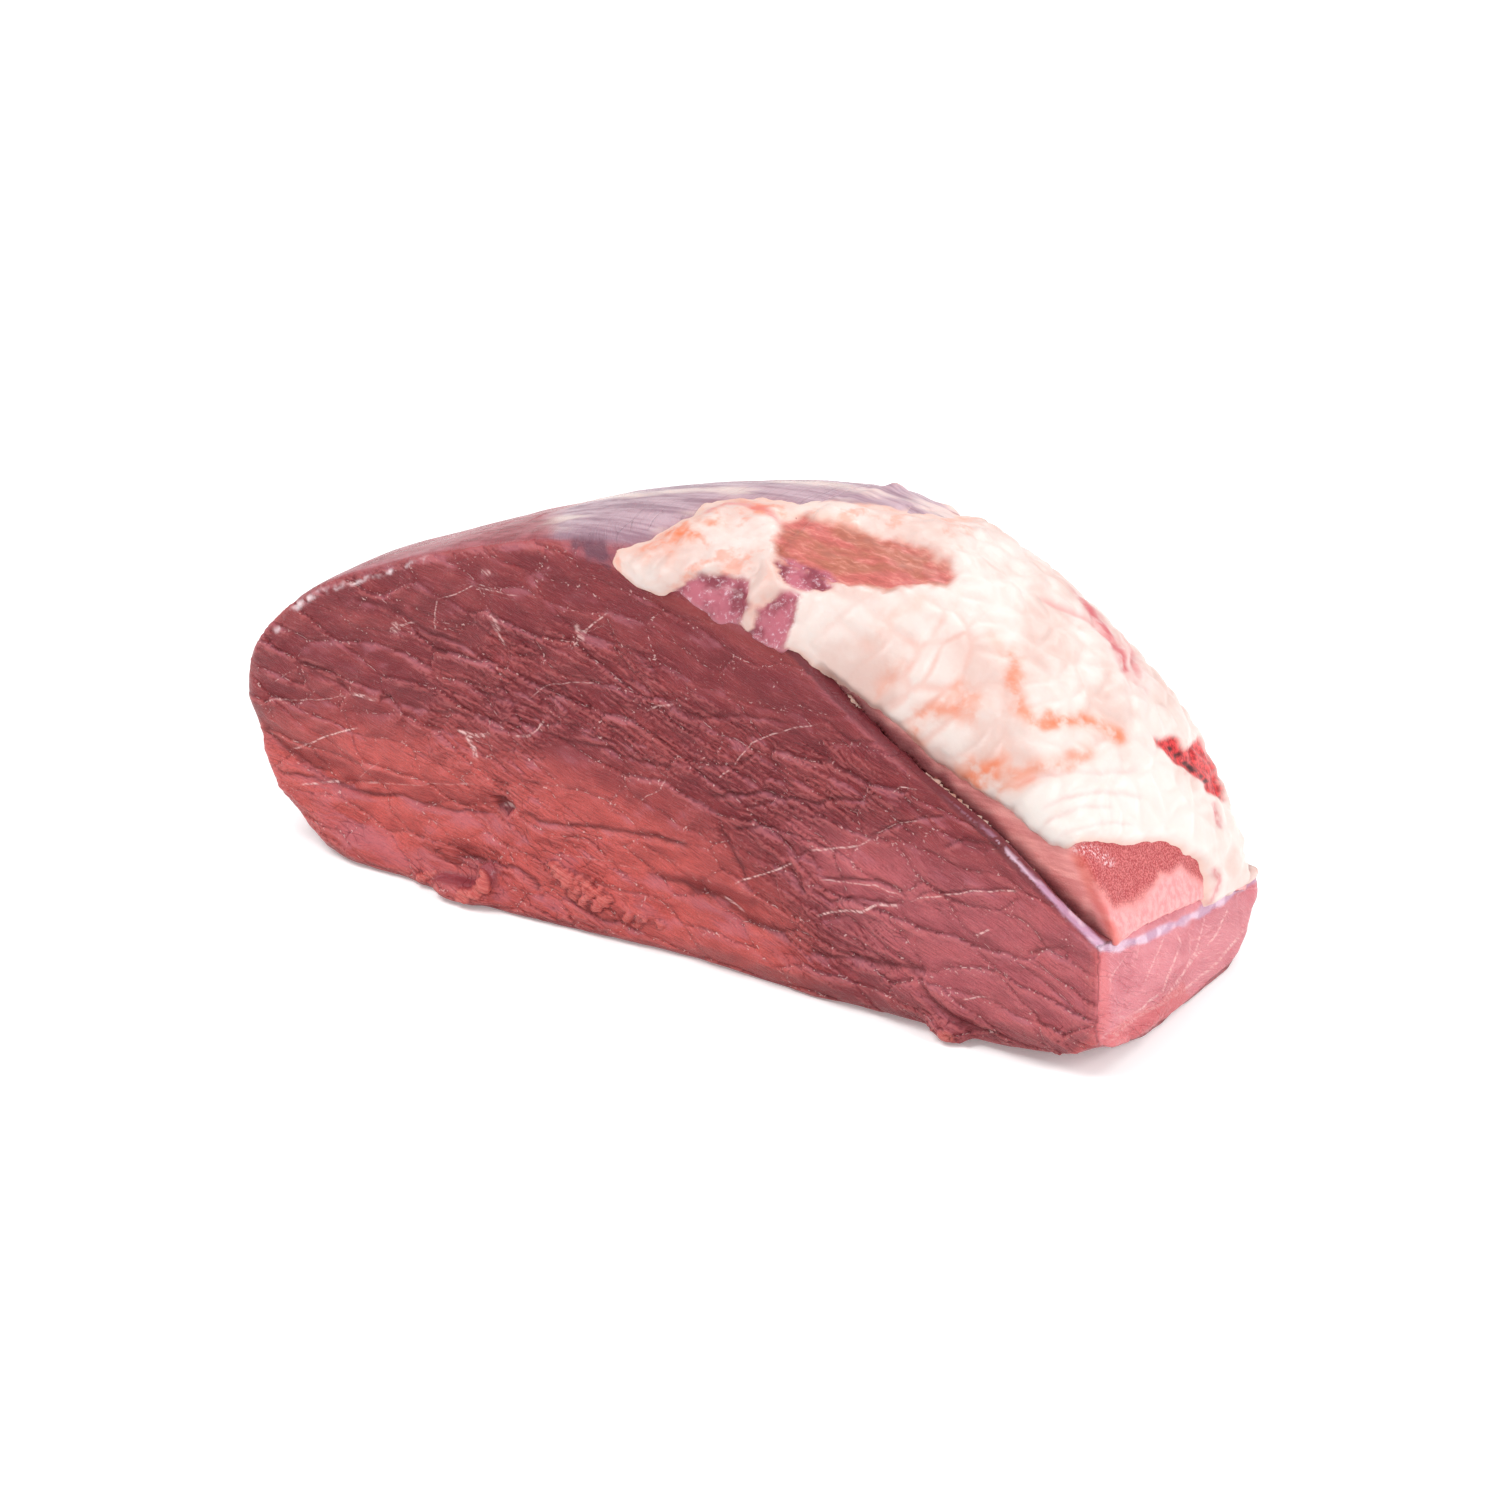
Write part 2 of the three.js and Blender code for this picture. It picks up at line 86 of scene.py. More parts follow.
def noise(points, seed=0):
    """Smooth noise from -1 to 1 with a feature about every unit."""
    base = np.floor(points)
    part = points - base
    part = part * part * (3 - 2 * part)
    total = np.zeros(len(points))
    dims = points.shape[1]
    for corner in range(2**dims):
        step = np.array([(corner >> k) & 1 for k in range(dims)])
        weight = np.prod(np.where(step, part, 1 - part), axis=1)
        total += weight * hashed(base + step, seed)
    return 2 * total - 1


def noises(points, *seeds):
    """A column of noise for each seed."""
    return np.stack([noise(points, seed) for seed in seeds], axis=1)


def fractal(points, octaves=3, seed=0):
    total = np.zeros(len(points))
    size = 0.0
    for k in range(octaves):
        total += noise(points * 2**k, seed + k) / 2**k
        size += 1 / 2**k
    return total / size


def to_photo(points):
    """Photograph pixels, across and down, of points in metres."""
    back = CAMERA_AT - CAMERA_AIM
    back = back / np.linalg.norm(back)
    right = np.cross((0, 0, 1), back)
    right = right / np.linalg.norm(right)
    up = np.cross(back, right)
    from_camera = points - CAMERA_AT
    depth = -from_camera @ back
    scale = LENS / SENSOR * PICTURE / depth
    across = PICTURE / 2 + from_camera @ right * scale
    down = PICTURE / 2 - from_camera @ up * scale
    return np.stack((across, down), axis=1)


def to_camera(points):
    """The direction from each point to the photograph's camera."""
    way = CAMERA_AT / MM - points
    return way / np.linalg.norm(way, axis=1)[:, None]


def seen_share(points, facing, low=0.02):
    """1 where a surface faces the photograph's camera, falling to 0 where it turns away."""
    return smoothstep(np.einsum("ij,ij->i", to_camera(points), facing), low, low + 0.18)


def hidden_share(tree, points, up):
    """1 where the object itself stands between a place and the photograph's camera, else 0."""
    starts = points + 2 * up
    ways = to_camera(points)
    hits = [tree.ray_cast(a, b)[0] is not None for a, b in zip(starts.tolist(), ways.tolist())]
    return np.array(hits, dtype=float)


def to_line(points, line):
    """Distance from each point to a line through points, how far along it is from 0 to 1, and
    its side: 1 to the right of the line's way on the picture, which is below it, and -1 above."""
    best = np.full(len(points), 1e9)
    place = np.zeros(len(points))
    side = np.ones(len(points))
    line = np.array(line, float)
    lengths = np.linalg.norm(np.diff(line, axis=0), axis=1)
    run = np.concatenate(([0], np.cumsum(lengths))) / lengths.sum()
    for k, (a, b) in enumerate(zip(line[:-1], line[1:])):
        way = b - a
        from_a = points - a
        t = np.clip(from_a @ way / (way @ way), 0, 1)
        away = np.linalg.norm(from_a - t[:, None] * way, axis=1)
        nearer = away < best
        best[nearer] = away[nearer]
        place[nearer] = (run[k] + t * (run[k + 1] - run[k]))[nearer]
        turn = np.sign(way[0] * from_a[:, 1] - way[1] * from_a[:, 0])
        side[nearer] = turn[nearer]
    return best, place, side


def inside(points, outline):
    """Signed distance to a closed outline: positive inside."""
    closed = list(outline) + [outline[0]]
    away, _, _ = to_line(points, closed)
    odd = np.zeros(len(points), bool)
    for (ax, ay), (bx, by) in zip(closed[:-1], closed[1:]):
        crosses = (ay > points[:, 1]) != (by > points[:, 1])
        slope = (bx - ax) / (by - ay) if by != ay else 0.0
        odd ^= crosses & (points[:, 0] < ax + slope * (points[:, 1] - ay))
    return np.where(odd, away, -away)


def patch(photo, outline, low, high, ragged=0.0, grain=1.0, seed=0):
    """0 outside an outline of the photograph and 1 inside, between two distances from its edge,
    which noise makes ragged by some pixels."""
    room = inside(photo, outline)
    if ragged:
        room = room + ragged * noise(photo / grain, seed)
    return smoothstep(room, low, high)


def beside(photo, line, far, near):
    """1 near a line of the photograph and 0 far from it."""
    return smoothstep(-to_line(photo, line)[0], -far, -near)


# Meshes


def places(obj):
    flat = np.zeros(len(obj.data.vertices) * 3)
    obj.data.vertices.foreach_get("co", flat)
    return flat.reshape(-1, 3) / MM


def new_object(name, data):
    obj = bpy.data.objects.new(name, data)
    bpy.context.scene.collection.objects.link(obj)
    return obj


def move_to(obj, points):
    obj.data.vertices.foreach_set("co", (points * MM).ravel())
    obj.data.update()


def normals(obj):
    flat = np.zeros(len(obj.data.vertices) * 3)
    obj.data.vertices.foreach_get("normal", flat)
    return flat.reshape(-1, 3)


def applied(obj):
    """The object's mesh with its modifiers applied."""
    graph = bpy.context.evaluated_depsgraph_get()
    old = obj.data
    obj.data = bpy.data.meshes.new_from_object(obj.evaluated_get(graph), depsgraph=graph)
    obj.modifiers.clear()
    bpy.data.meshes.remove(old)


def copy_of(node, name):
    obj = new_object(name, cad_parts[node].data.copy())
    obj.data.name = name
    obj.data.materials.clear()
    shape = bmesh.new()
    shape.from_mesh(obj.data)
    bmesh.ops.remove_doubles(shape, verts=shape.verts, dist=0.01 * MM)
    shape.to_mesh(obj.data)
    shape.free()
    return obj


def remeshed(obj, voxel):
    step = obj.modifiers.new("voxels", "REMESH")
    step.mode = "VOXEL"
    step.voxel_size = voxel * MM
    step.use_smooth_shade = True
    applied(obj)


def edges_of(obj):
    flat = np.zeros(len(obj.data.edges) * 2, np.int64)
    obj.data.edges.foreach_get("vertices", flat)
    return flat.reshape(-1, 2)


def averaged(values, edges, rounds, share=0.5):
    """Values on vertices, each drawn towards its neighbours' mean some rounds."""
    count = len(values)
    degree = np.bincount(edges.ravel(), minlength=count).clip(1)
    flat = values.reshape(count, -1).astype(float)
    for _ in range(rounds):
        total = np.zeros_like(flat)
        for k in range(flat.shape[1]):
            total[:, k] = np.bincount(edges[:, 0], flat[edges[:, 1], k], count)
            total[:, k] += np.bincount(edges[:, 1], flat[edges[:, 0], k], count)
        flat = mix(flat, total / degree[:, None], share)
    return flat.reshape(values.shape)


def smoothed(obj, rounds, share=0.5):
    """Smooths a shape and gives back most of the size that this takes away."""
    edges = edges_of(obj)
    points = places(obj)
    for _ in range(rounds):
        points = averaged(points, edges, 1, share)
        points = averaged(points, edges, 1, -share * 1.03)
    move_to(obj, points)


def thinned(obj, chosen, left):
    """Takes triangles away where vertices are chosen, until about this share of those is left."""
    group = obj.vertex_groups.new(name="thinned")
    group.add(np.flatnonzero(chosen).tolist(), 1.0, "REPLACE")
    step = obj.modifiers.new("thin", "DECIMATE")
    step.ratio = 1 - (1 - left) * chosen.mean()
    step.vertex_group = "thinned"
    step.use_collapse_triangulate = True
    applied(obj)
    obj.vertex_groups.clear()


def refined(obj, chosen):
    """Cuts each face in four where all its vertices are chosen."""
    shape = bmesh.new()
    shape.from_mesh(obj.data)
    shape.verts.ensure_lookup_table()
    picked = [e for e in shape.edges if chosen[e.verts[0].index] and chosen[e.verts[1].index]]
    bmesh.ops.subdivide_edges(shape, edges=picked, cuts=1, use_grid_fill=True)
    bmesh.ops.triangulate(shape, faces=[f for f in shape.faces if len(f.verts) > 4])
    for face in shape.faces:
        face.smooth = True
    shape.to_mesh(obj.data)
    shape.free()


def tree_of(objects):
    """A tree for finding the nearest place on some objects, in mm."""
    corners = []
    faces = []
    for obj in objects:
        start = len(corners)
        corners.extend(places(obj).tolist())
        faces.extend([start + k for k in face.vertices] for face in obj.data.polygons)
    return BVHTree.FromPolygons(corners, faces)


def distance_on(tree, points):
    """The distance from each point to the surface in a tree."""
    return np.array([tree.find_nearest(p)[3] for p in points.tolist()])


def within(tree, points, reach):
    """Where points are inside the solid in a tree, or no further than this from it."""
    found = [tree.find_nearest(p) for p in points.tolist()]
    place, out, _, away = zip(*found)
    inward = np.einsum("ij,ij->i", points - np.array(place), np.array(out)) < 0
    return inward | (np.array(away) < reach)


def boxed(obj):
    """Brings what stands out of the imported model's box back onto its sides."""
    corners = np.array([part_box(node) for node in ("lean", "cap_muscle", "fat_cap")]) / MM
    move_to(obj, np.clip(places(obj), corners[:, 0].min(axis=0), corners[:, 1].max(axis=0)))


def store(obj, name, values):
    vector = values.ndim == 2
    layer = obj.data.attributes.new(name, "FLOAT_VECTOR" if vector else "FLOAT", "POINT")
    layer.data.foreach_set("vector" if vector else "value", values.astype(float).ravel())


def stored(obj, name):
    layer = obj.data.attributes[name]
    if layer.data_type == "FLOAT":
        flat = np.zeros(len(obj.data.vertices))
        layer.data.foreach_get("value", flat)
        return flat
    flat = np.zeros(len(obj.data.vertices) * 3)
    layer.data.foreach_get("vector", flat)
    return flat.reshape(-1, 3)


def store_looks(obj, looks, chosen=slice(None)):
    """Stores several values on the vertices, or on chosen ones of them, under their names."""
    for name, values in looks.items():
        store(obj, name, values[chosen])


def store_cells(obj, name):
    """Stores what a shader's Voronoi nodes make of a stored vector: the distance to the cell's
    edge, the place of its middle and a random vector for each cell."""
    tree = bpy.data.node_groups.new(name, "GeometryNodeTree")
    tree.interface.new_socket("Geometry", in_out="INPUT", socket_type="NodeSocketGeometry")
    tree.interface.new_socket("Geometry", in_out="OUTPUT", socket_type="NodeSocketGeometry")
    start = tree.nodes.new("NodeGroupInput")
    end = tree.nodes.new("NodeGroupOutput")
    read = tree.nodes.new("GeometryNodeInputNamedAttribute")
    read.data_type = "FLOAT_VECTOR"
    read.inputs["Name"].default_value = name
    last = start.outputs[0]
    for feature, output, suffix in (
        ("DISTANCE_TO_EDGE", "Distance", "_edge"),
        ("F1", "Position", "_middle"),
        ("F1", "Color", "_random"),
    ):
        cells = tree.nodes.new("ShaderNodeTexVoronoi")
        cells.voronoi_dimensions = "2D"
        cells.feature = feature
        cells.inputs["Scale"].default_value = 1.0
        keep = tree.nodes.new("GeometryNodeStoreNamedAttribute")
        keep.data_type = "FLOAT" if suffix == "_edge" else "FLOAT_VECTOR"
        keep.domain = "POINT"
        keep.inputs["Name"].default_value = name + suffix
        tree.links.new(read.outputs["Attribute"], cells.inputs["Vector"])
        tree.links.new(last, keep.inputs["Geometry"])
        tree.links.new(cells.outputs[output], keep.inputs["Value"])
        last = keep.outputs["Geometry"]
    tree.links.new(last, end.inputs[0])
    step = obj.modifiers.new("cells", "NODES")
    step.node_group = tree
    applied(obj)
    bpy.data.node_groups.remove(tree)


# Materials


class Shader:
    """A material's nodes, made one call each."""

    def __init__(self, name):
        self.material = bpy.data.materials.new(name)
        self.material.use_nodes = True
        self.tree = self.material.node_tree
        self.tree.nodes.clear()

    def node(self, kind, inputs=(), **settings):
        made = self.tree.nodes.new(kind)
        for key, value in settings.items():
            setattr(made, key, value)
        for key, value in dict(inputs).items():
            socket = made.inputs[key]
            if isinstance(value, bpy.types.NodeSocket):
                self.tree.links.new(value, socket)
            else:
                socket.default_value = value
        return made

    def value(self, name):
        return self.node("ShaderNodeAttribute", attribute_name=name).outputs["Fac"]

    def vector(self, name):
        return self.node("ShaderNodeAttribute", attribute_name=name).outputs["Vector"]

    def place(self):
        """The place on the object, in metres."""
        return self.node("ShaderNodeTexCoord").outputs["Object"]

    def math(self, operation, a, b=0.0, clamp=False):
        made = self.node("ShaderNodeMath", {0: a, 1: b}, operation=operation, use_clamp=clamp)
        return made.outputs[0]

    def times(self, a, b):
        return self.math("MULTIPLY", a, b)

    def scaled(self, vector, by):
        made = self.node("ShaderNodeVectorMath", {0: vector, 1: by}, operation="MULTIPLY")
        return made.outputs[0]

    def ramp(self, value, low, high, to_low=0.0, to_high=1.0):
        """Value taken smoothly from the range low to high to the range to_low to to_high."""
        made = self.node(
            "ShaderNodeMapRange",
            {"Value": value, "From Min": low, "From Max": high, "To Min": to_low, "To Max": to_high},
            interpolation_type="SMOOTHSTEP",
        )
        return made.outputs["Result"]

    def noise(self, vector, scale, detail=2.0, roughness=0.5):
        inputs = {"Vector": vector, "Scale": scale, "Detail": detail, "Roughness": roughness}
        return self.node("ShaderNodeTexNoise", inputs).outputs[0]

    def bent(self, vector, scale, by):
        """A vector with smooth noise added, of this scale and this much."""
        bend = self.node("ShaderNodeTexNoise", {"Vector": vector, "Scale": scale, "Detail": 2.0})
        bend = self.scaled(bend.outputs["Color"], (by,) * 3)
        return self.node("ShaderNodeVectorMath", {0: vector, 1: bend}, operation="ADD").outputs[0]

    def edges(self, vector):
        """The distance to the border of flat cells that take one unit each."""
        made = self.node(
            "ShaderNodeTexVoronoi",
            {"Vector": vector, "Scale": 1.0},
            voronoi_dimensions="2D",
            feature="DISTANCE_TO_EDGE",
        )
        return made.outputs["Distance"]

    def blend(self, share, a, b):
        """Two colours mixed. A fixed one is given as a picture's 0 to 255 numbers."""
        a, b = (colour(*c) if isinstance(c, tuple) else c for c in (a, b))
        return self.node("ShaderNodeMix", {0: share, 6: a, 7: b}, data_type="RGBA").outputs[2]

    def layered(self, base, *layers):
        """A colour with others laid over it in turn, each by its share."""
        for share, over in layers:
            base = self.blend(share, base, over)
        return base

    def bump(self, height, distance, strength):
        inputs = {"Height": height, "Distance": distance, "Strength": strength}
        return self.node("ShaderNodeBump", inputs).outputs["Normal"]

    def finish(self, **inputs):
        inputs = {key.replace("_", " "): value for key, value in inputs.items()}
        shader = self.node("ShaderNodeBsdfPrincipled", inputs)
        self.node("ShaderNodeOutputMaterial", {"Surface": shader.outputs[0]})
        return self.material


def colour(red, green, blue):
    """A colour given as a picture's 0 to 255 numbers."""
    linear = [((c / 255 + 0.055) / 1.055) ** 2.4 if c > 10 else c / 3294 for c in (red, green, blue)]
    return (*linear, 1.0)


# The cut face

FRONT_Y = -53.3  # the plane of the cut face
END_X = 134.0  # the plane of the end face
LEFT_X = -136.0  # the left tip
END_PLACE = 420  # where the pattern on the end face is taken from, well past the cut face's own
HOLE_DEPTH = 3.5
LEAN_VOXEL = 1.3
PLAIN_LEFT = 0.2  # the share of triangles that stays away from the cut face and the end face

# Bundles of muscle: long cells, whose cross borders lean. Finer wrinkles run down to the right
BUNDLE_SIZE = (19.0, 8.5)
BUNDLE_SLOPE = (0.06, 0.12)  # how fast they fall, at the left end and at the right end
BUNDLE_LEAN = 0.52
STRAND_SIZE = (10.0, 2.6)
STRAND_SLOPE = (0.2, 0.46)
STRAND_LEAN = 0.2
WRINKLE_SIZE = (5.5, 1.5)

# Creases in the face, with painted shade along each: a line in the photograph, its depth in mm, its half
# width in pixels, and how far the meat below it stands proud
CREASES = [
    ([(259, 727), (272, 739), (291, 753), (310, 766), (330, 773)], 1.6, 5, 0.6),
    ([(268, 764), (282, 775), (305, 776), (340, 786), (372, 795), (404, 796)], 1.2, 3, 0.6),
    ([(353, 793), (404, 796), (445, 809), (475, 812), (500, 812)], 0.9, 2.5, 0.7),
    ([(378, 700), (392, 699)], 1.0, 4, 0.0),
    ([(290, 662), (330, 672), (347, 690)], 0.7, 4, 0.4),
    ([(513, 809), (539, 823), (560, 826), (607, 831), (653, 838), (700, 853)], 1.3, 3.5, 0.9),
    ([(416, 842), (445, 858), (480, 868), (520, 880)], 0.8, 4, 0.3),
    ([(343, 598), (372, 602), (404, 616), (428, 633), (455, 642), (480, 660)], 0.5, 3, 0.3),
    ([(300, 664), (320, 674), (337, 683), (351, 695)], 0.8, 3, 0.3),
    ([(700, 796), (735, 797), (760, 794), (785, 799), (817, 804), (841, 798), (876, 803)], 0.9, 2.5, 0.5),
    ([(700, 765), (728, 768), (753, 756), (788, 768)], 0.6, 2.5, 0.3),
    ([(716, 825), (730, 848), (746, 884)], 0.9, 3, 0.3),
    ([(732, 828), (760, 829), (776, 834), (797, 857), (814, 848)], 0.7, 2.5, 0.3),
    ([(786, 862), (798, 884), (806, 896)], 0.9, 3, 0.3),
    ([(806, 883), (832, 903), (852, 898), (880, 902), (905, 904)], 0.8, 3, 0.5),
    ([(820, 877), (855, 880), (876, 881), (897, 888), (910, 899)], 0.8, 2.5, 0.6),
    ([(911, 899), (930, 893), (960, 893), (1000, 890), (1025, 891)], 0.6, 2, 0.4),
    ([(867, 838), (890, 826), (925, 818), (950, 818)], 0.6, 2, 0.4),
    ([(940, 847), (965, 842), (1000, 848), (1020, 858)], 0.6, 2, 0.4),
    ([(640, 872), (680, 885), (718, 898), (745, 920), (776, 934), (800, 950)], 1.5, 6, 0.7),
    ([(800, 950), (830, 957), (864, 961), (905, 967), (935, 975)], 1.3, 5, 0.5),
    ([(905, 962), (919, 980), (926, 997), (950, 1018), (976, 1031), (1005, 1046)], 1.1, 4, 0.4),
    ([(1025, 955), (1045, 950), (1067, 951)], 0.5, 3, 0.2),
    ([(560, 740), (600, 748), (640, 762), (680, 770)], 0.6, 2.5, 0.3),
    ([(470, 690), (510, 700), (548, 716), (580, 735), (625, 745)], 0.5, 2.5, 0.3),
    ([(820, 715), (850, 740), (880, 745), (915, 760)], 0.5, 2.5, 0.3),
    ([(393, 700), (430, 712), (470, 715), (520, 727)], 0.5, 2.5, 0.3),
    ([(640, 703), (700, 716), (750, 717), (800, 727)], 0.5, 2.5, 0.3),
    ([(455, 857), (473, 859), (499, 865), (519, 870), (533, 880), (542, 896)], 1.3, 3, 1.3),
    ([(489, 873), (491, 884)], 1.0, 2, 0.0),
    ([(560, 893), (580, 908), (600, 920), (622, 924)], 1.0, 3, 0.6),
]
# Scraps at the foot of the face, as small lumps: across, down and radius in pixels, height in mm
SCRAPS = [
    (485, 871, 5, 1.6), (486, 879, 6, 2.0), (483, 887, 6, 2.2), (474, 892, 7, 2.2), (464, 895, 6, 2.0),
    (423, 877, 5, 1.5), (431, 875, 4, 1.2), (555, 866, 5, 2.2), (562, 873, 6, 2.2), (569, 880, 6, 2.0),
    (579, 880, 5, 2.0), (587, 885, 5, 1.8), (575, 890, 5, 1.8), (573, 896, 4, 1.5), (583, 901, 5, 2.0),
    (590, 894, 5, 1.8), (597, 892, 5, 1.8), (603, 902, 7, 2.4), (597, 908, 5, 1.8), (627, 918, 4, 1.6),
    (637, 924, 4, 1.4), (643, 920, 3, 1.2), (659, 925, 4, 1.2), (925, 1036, 9, 1.6), (944, 1040, 9, 1.6),
    (1112, 1044, 8, 1.6), (1120, 1040, 7, 1.4),
]
# Thin pale lines, connective tissue and in part painted glints: the line, its brightness and its half
# width in pixels
PALE_LINES = [
    ([(292, 749), (310, 743), (328, 736), (343, 731), (358, 727)], 1.0, 1.5),
    ([(258, 705), (275, 699), (299, 701), (328, 698), (348, 695)], 0.5, 0.9),
    ([(275, 681), (284, 675), (293, 671)], 0.6, 0.9),
    ([(353, 693), (366, 696), (378, 700)], 0.9, 2.2),
    ([(439, 598), (456, 594), (475, 585), (484, 588), (519, 596)], 0.7, 1.0),
    ([(439, 598), (436, 614), (435, 631)], 0.6, 1.1),
    ([(574, 648), (582, 632), (590, 626), (607, 613)], 0.8, 1.4),
    ([(492, 612), (497, 622), (499, 633), (505, 646)], 0.7, 1.8),
    ([(459, 731), (472, 735), (490, 735)], 1.0, 2.6),
    ([(468, 736), (473, 745), (476, 758)], 1.0, 3.4),
    ([(395, 621), (397, 633)], 0.7, 4.0),
    ([(495, 614), (499, 632)], 0.6, 4.5),
    ([(576, 624), (584, 642)], 0.6, 4.5),
    ([(483, 570), (492, 573)], 0.6, 4.5),
    ([(500, 807), (514, 811)], 0.7, 2.2),
    ([(515, 737), (529, 736), (536, 730), (543, 721)], 0.9, 1.9),
    ([(530, 698), (539, 690), (548, 686), (566, 684), (601, 682)], 0.5, 1.0),
    ([(648, 710), (659, 704), (674, 704)], 0.6, 1.6),
    ([(302, 784), (316, 783), (340, 781)], 1.0, 2.0),
    ([(362, 782), (400, 783), (440, 784), (477, 784)], 0.4, 1.1),
    ([(360, 778), (366, 771), (379, 762)], 0.4, 0.9),
    ([(393, 631), (395, 625), (405, 624), (417, 622)], 0.6, 1.6),
    ([(639, 803), (648, 795), (662, 790), (665, 781)], 0.6, 1.1),
    ([(732, 769), (741, 755), (751, 743), (774, 734), (797, 727), (819, 724)], 0.7, 1.2),
    ([(718, 778), (723, 774), (729, 771)], 0.8, 1.2),
    ([(894, 792), (900, 788), (917, 790)], 0.8, 1.2),
    ([(876, 833), (894, 825), (923, 820)], 0.5, 0.9),
    ([(812, 849), (840, 848), (861, 845), (871, 838)], 0.8, 1.6),
    ([(735, 884), (753, 878), (767, 873), (780, 868), (792, 864)], 1.0, 1.5),
    ([(820, 880), (855, 882), (876, 883), (905, 897)], 0.6, 1.0),
    ([(911, 902), (920, 897), (949, 895), (976, 891), (1017, 892)], 0.8, 1.1),
    ([(817, 916), (832, 911), (850, 908), (864, 910), (878, 904), (902, 906)], 1.0, 2.0),
    ([(975, 936), (989, 930)], 1.0, 1.7),
    ([(964, 999), (989, 997)], 0.7, 1.4),
    ([(723, 898), (734, 904), (744, 913)], 0.9, 2.0),
    ([(560, 855), (600, 860), (640, 870)], 0.3, 1.0),
    ([(830, 690), (900, 750), (960, 803), (1010, 853), (1060, 903), (1098, 946)], 0.4, 1.1),
    ([(1164, 935), (1156, 958), (1144, 984)], 0.5, 1.3),
    ([(1175, 931), (1181, 944), (1164, 990), (1136, 1015), (1096, 1042)], 0.6, 1.8),
    ([(1204, 915), (1195, 953), (1182, 975), (1178, 993)], 0.5, 1.3),
    ([(1231, 902), (1218, 933), (1193, 960), (1164, 1002), (1129, 1022)], 0.6, 1.8),
    ([(1127, 955), (1113, 975), (1109, 993)], 0.4, 1.3),
    ([(1249, 925), (1218, 962), (1182, 993), (1138, 1018), (1100, 1046)], 0.6, 2.2),
]
# Outlines in the photograph: where the cut face is coloured paler and redder, low on the left; where it
# is coloured darkest; where it has few wrinkles; and where it is coloured lighter, at the right
SALMON = [
    (240, 730), (330, 722), (470, 742), (560, 775), (640, 800), (720, 850), (790, 920),
    (800, 990), (640, 960), (430, 900), (300, 850), (240, 780),
]
DARK = [
    (300, 590), (420, 560), (560, 560), (660, 600), (780, 650), (880, 740), (950, 800), (900, 840),
    (760, 790), (620, 740), (480, 700), (330, 680), (270, 700),
]
CALM = [
    (300, 560), (430, 545), (610, 560), (700, 595), (800, 650), (890, 745), (960, 815), (935, 800),
    (880, 765), (830, 735), (770, 722), (700, 690), (640, 648), (560, 616), (450, 604), (330, 640),
]
LIGHT = [
    (800, 830), (900, 850), (1000, 880), (1090, 935), (1102, 950), (1104, 1045), (1040, 1050),
    (960, 1030), (860, 960),
]
# The patches between the lobes of fat where a purple membrane shows
PURPLE = [
    (681, 592), (695, 580), (722, 577), (752, 585), (752, 605), (743, 622), (720, 622), (700, 608),
]
PURPLE_TOP = [(778, 566), (800, 572), (825, 580), (832, 590), (800, 592), (785, 582)]
PURPLE_RIGHT = [(755, 637), (762, 612), (783, 594), (798, 598), (793, 625), (782, 652)]
# Painted glow, paler and redder, along the end face's front edge and along the left end's foot, where the
# rounded edges catch the light, and the redder strip at the end face's foot
CORNER_GLOW = [(1100, 950), (1104, 985), (1104, 1020), (1094, 1043), (1078, 1055)]
LEFT_FOOT_GLOW = [(256, 728), (264, 750), (272, 775), (288, 796), (304, 820), (322, 842)]
FOOT_STRIP = [
    (1088, 1052), (1118, 1026), (1150, 1008), (1184, 984), (1196, 1000), (1150, 1036), (1100, 1062),
]
# The small hole in the cut face, sunk in and given painted shade
HOLE = [(492, 797), (503, 797), (514, 808), (507, 816), (498, 808)]


def fallen(x, slope):
    """How far something that falls with x has gone down, with its slope at each end."""
    run = x - LEFT_X
    return slope[0] * run + (slope[1] - slope[0]) * run**2 / (2 * (END_X - LEFT_X))


def cell_space(place, size, slope, lean, seed, warp):
    """Coordinates in which one cell of a pattern on the cut face takes one unit."""
    bend = np.stack((fractal(place / 19, 2, seed), fractal(place / 19, 2, seed + 7)), axis=1)
    fine = noises(place / 4.5, seed + 13, seed + 19)
    x, z = (place + bend * (2 * warp, warp) + fine * (0.5, 0.3)).T
    across = z + fallen(x, slope)
    return np.stack(((x + lean * z) / size[0], across / size[1], 0 * x), axis=1)


def steps_of(obj, name, source, along, depth):
    """Relief of a pattern of cells like shingles: each tilts, and lies a little higher or lower."""
    edge = stored(obj, name + "_edge")
    inner = source - stored(obj, name + "_middle")
    lot = stored(obj, name + "_random")
    tilt = mix(0.1, 1.2, lot[:, 0]) * inner[:, 1] + along * (lot[:, 1] - 0.5) * inner[:, 0]
    level = 0.5 * (lot[:, 2] - 0.5)
    groove = smoothstep(edge, 0.0, 0.16) - 1
    return tilt + level + depth * groove


def stains(photo, lines, seed):
    """How strong the nearest of some stains is at each place, from 0 to 1."""
    strength = np.zeros(len(photo))
    wave = noises(photo / 12, seed)
    for line, radius, most in lines:
        away = to_line(photo + 0.5 * radius * wave, line)[0]
        strength = np.maximum(strength, most * np.exp(-((away / radius) ** 2)))
    return strength


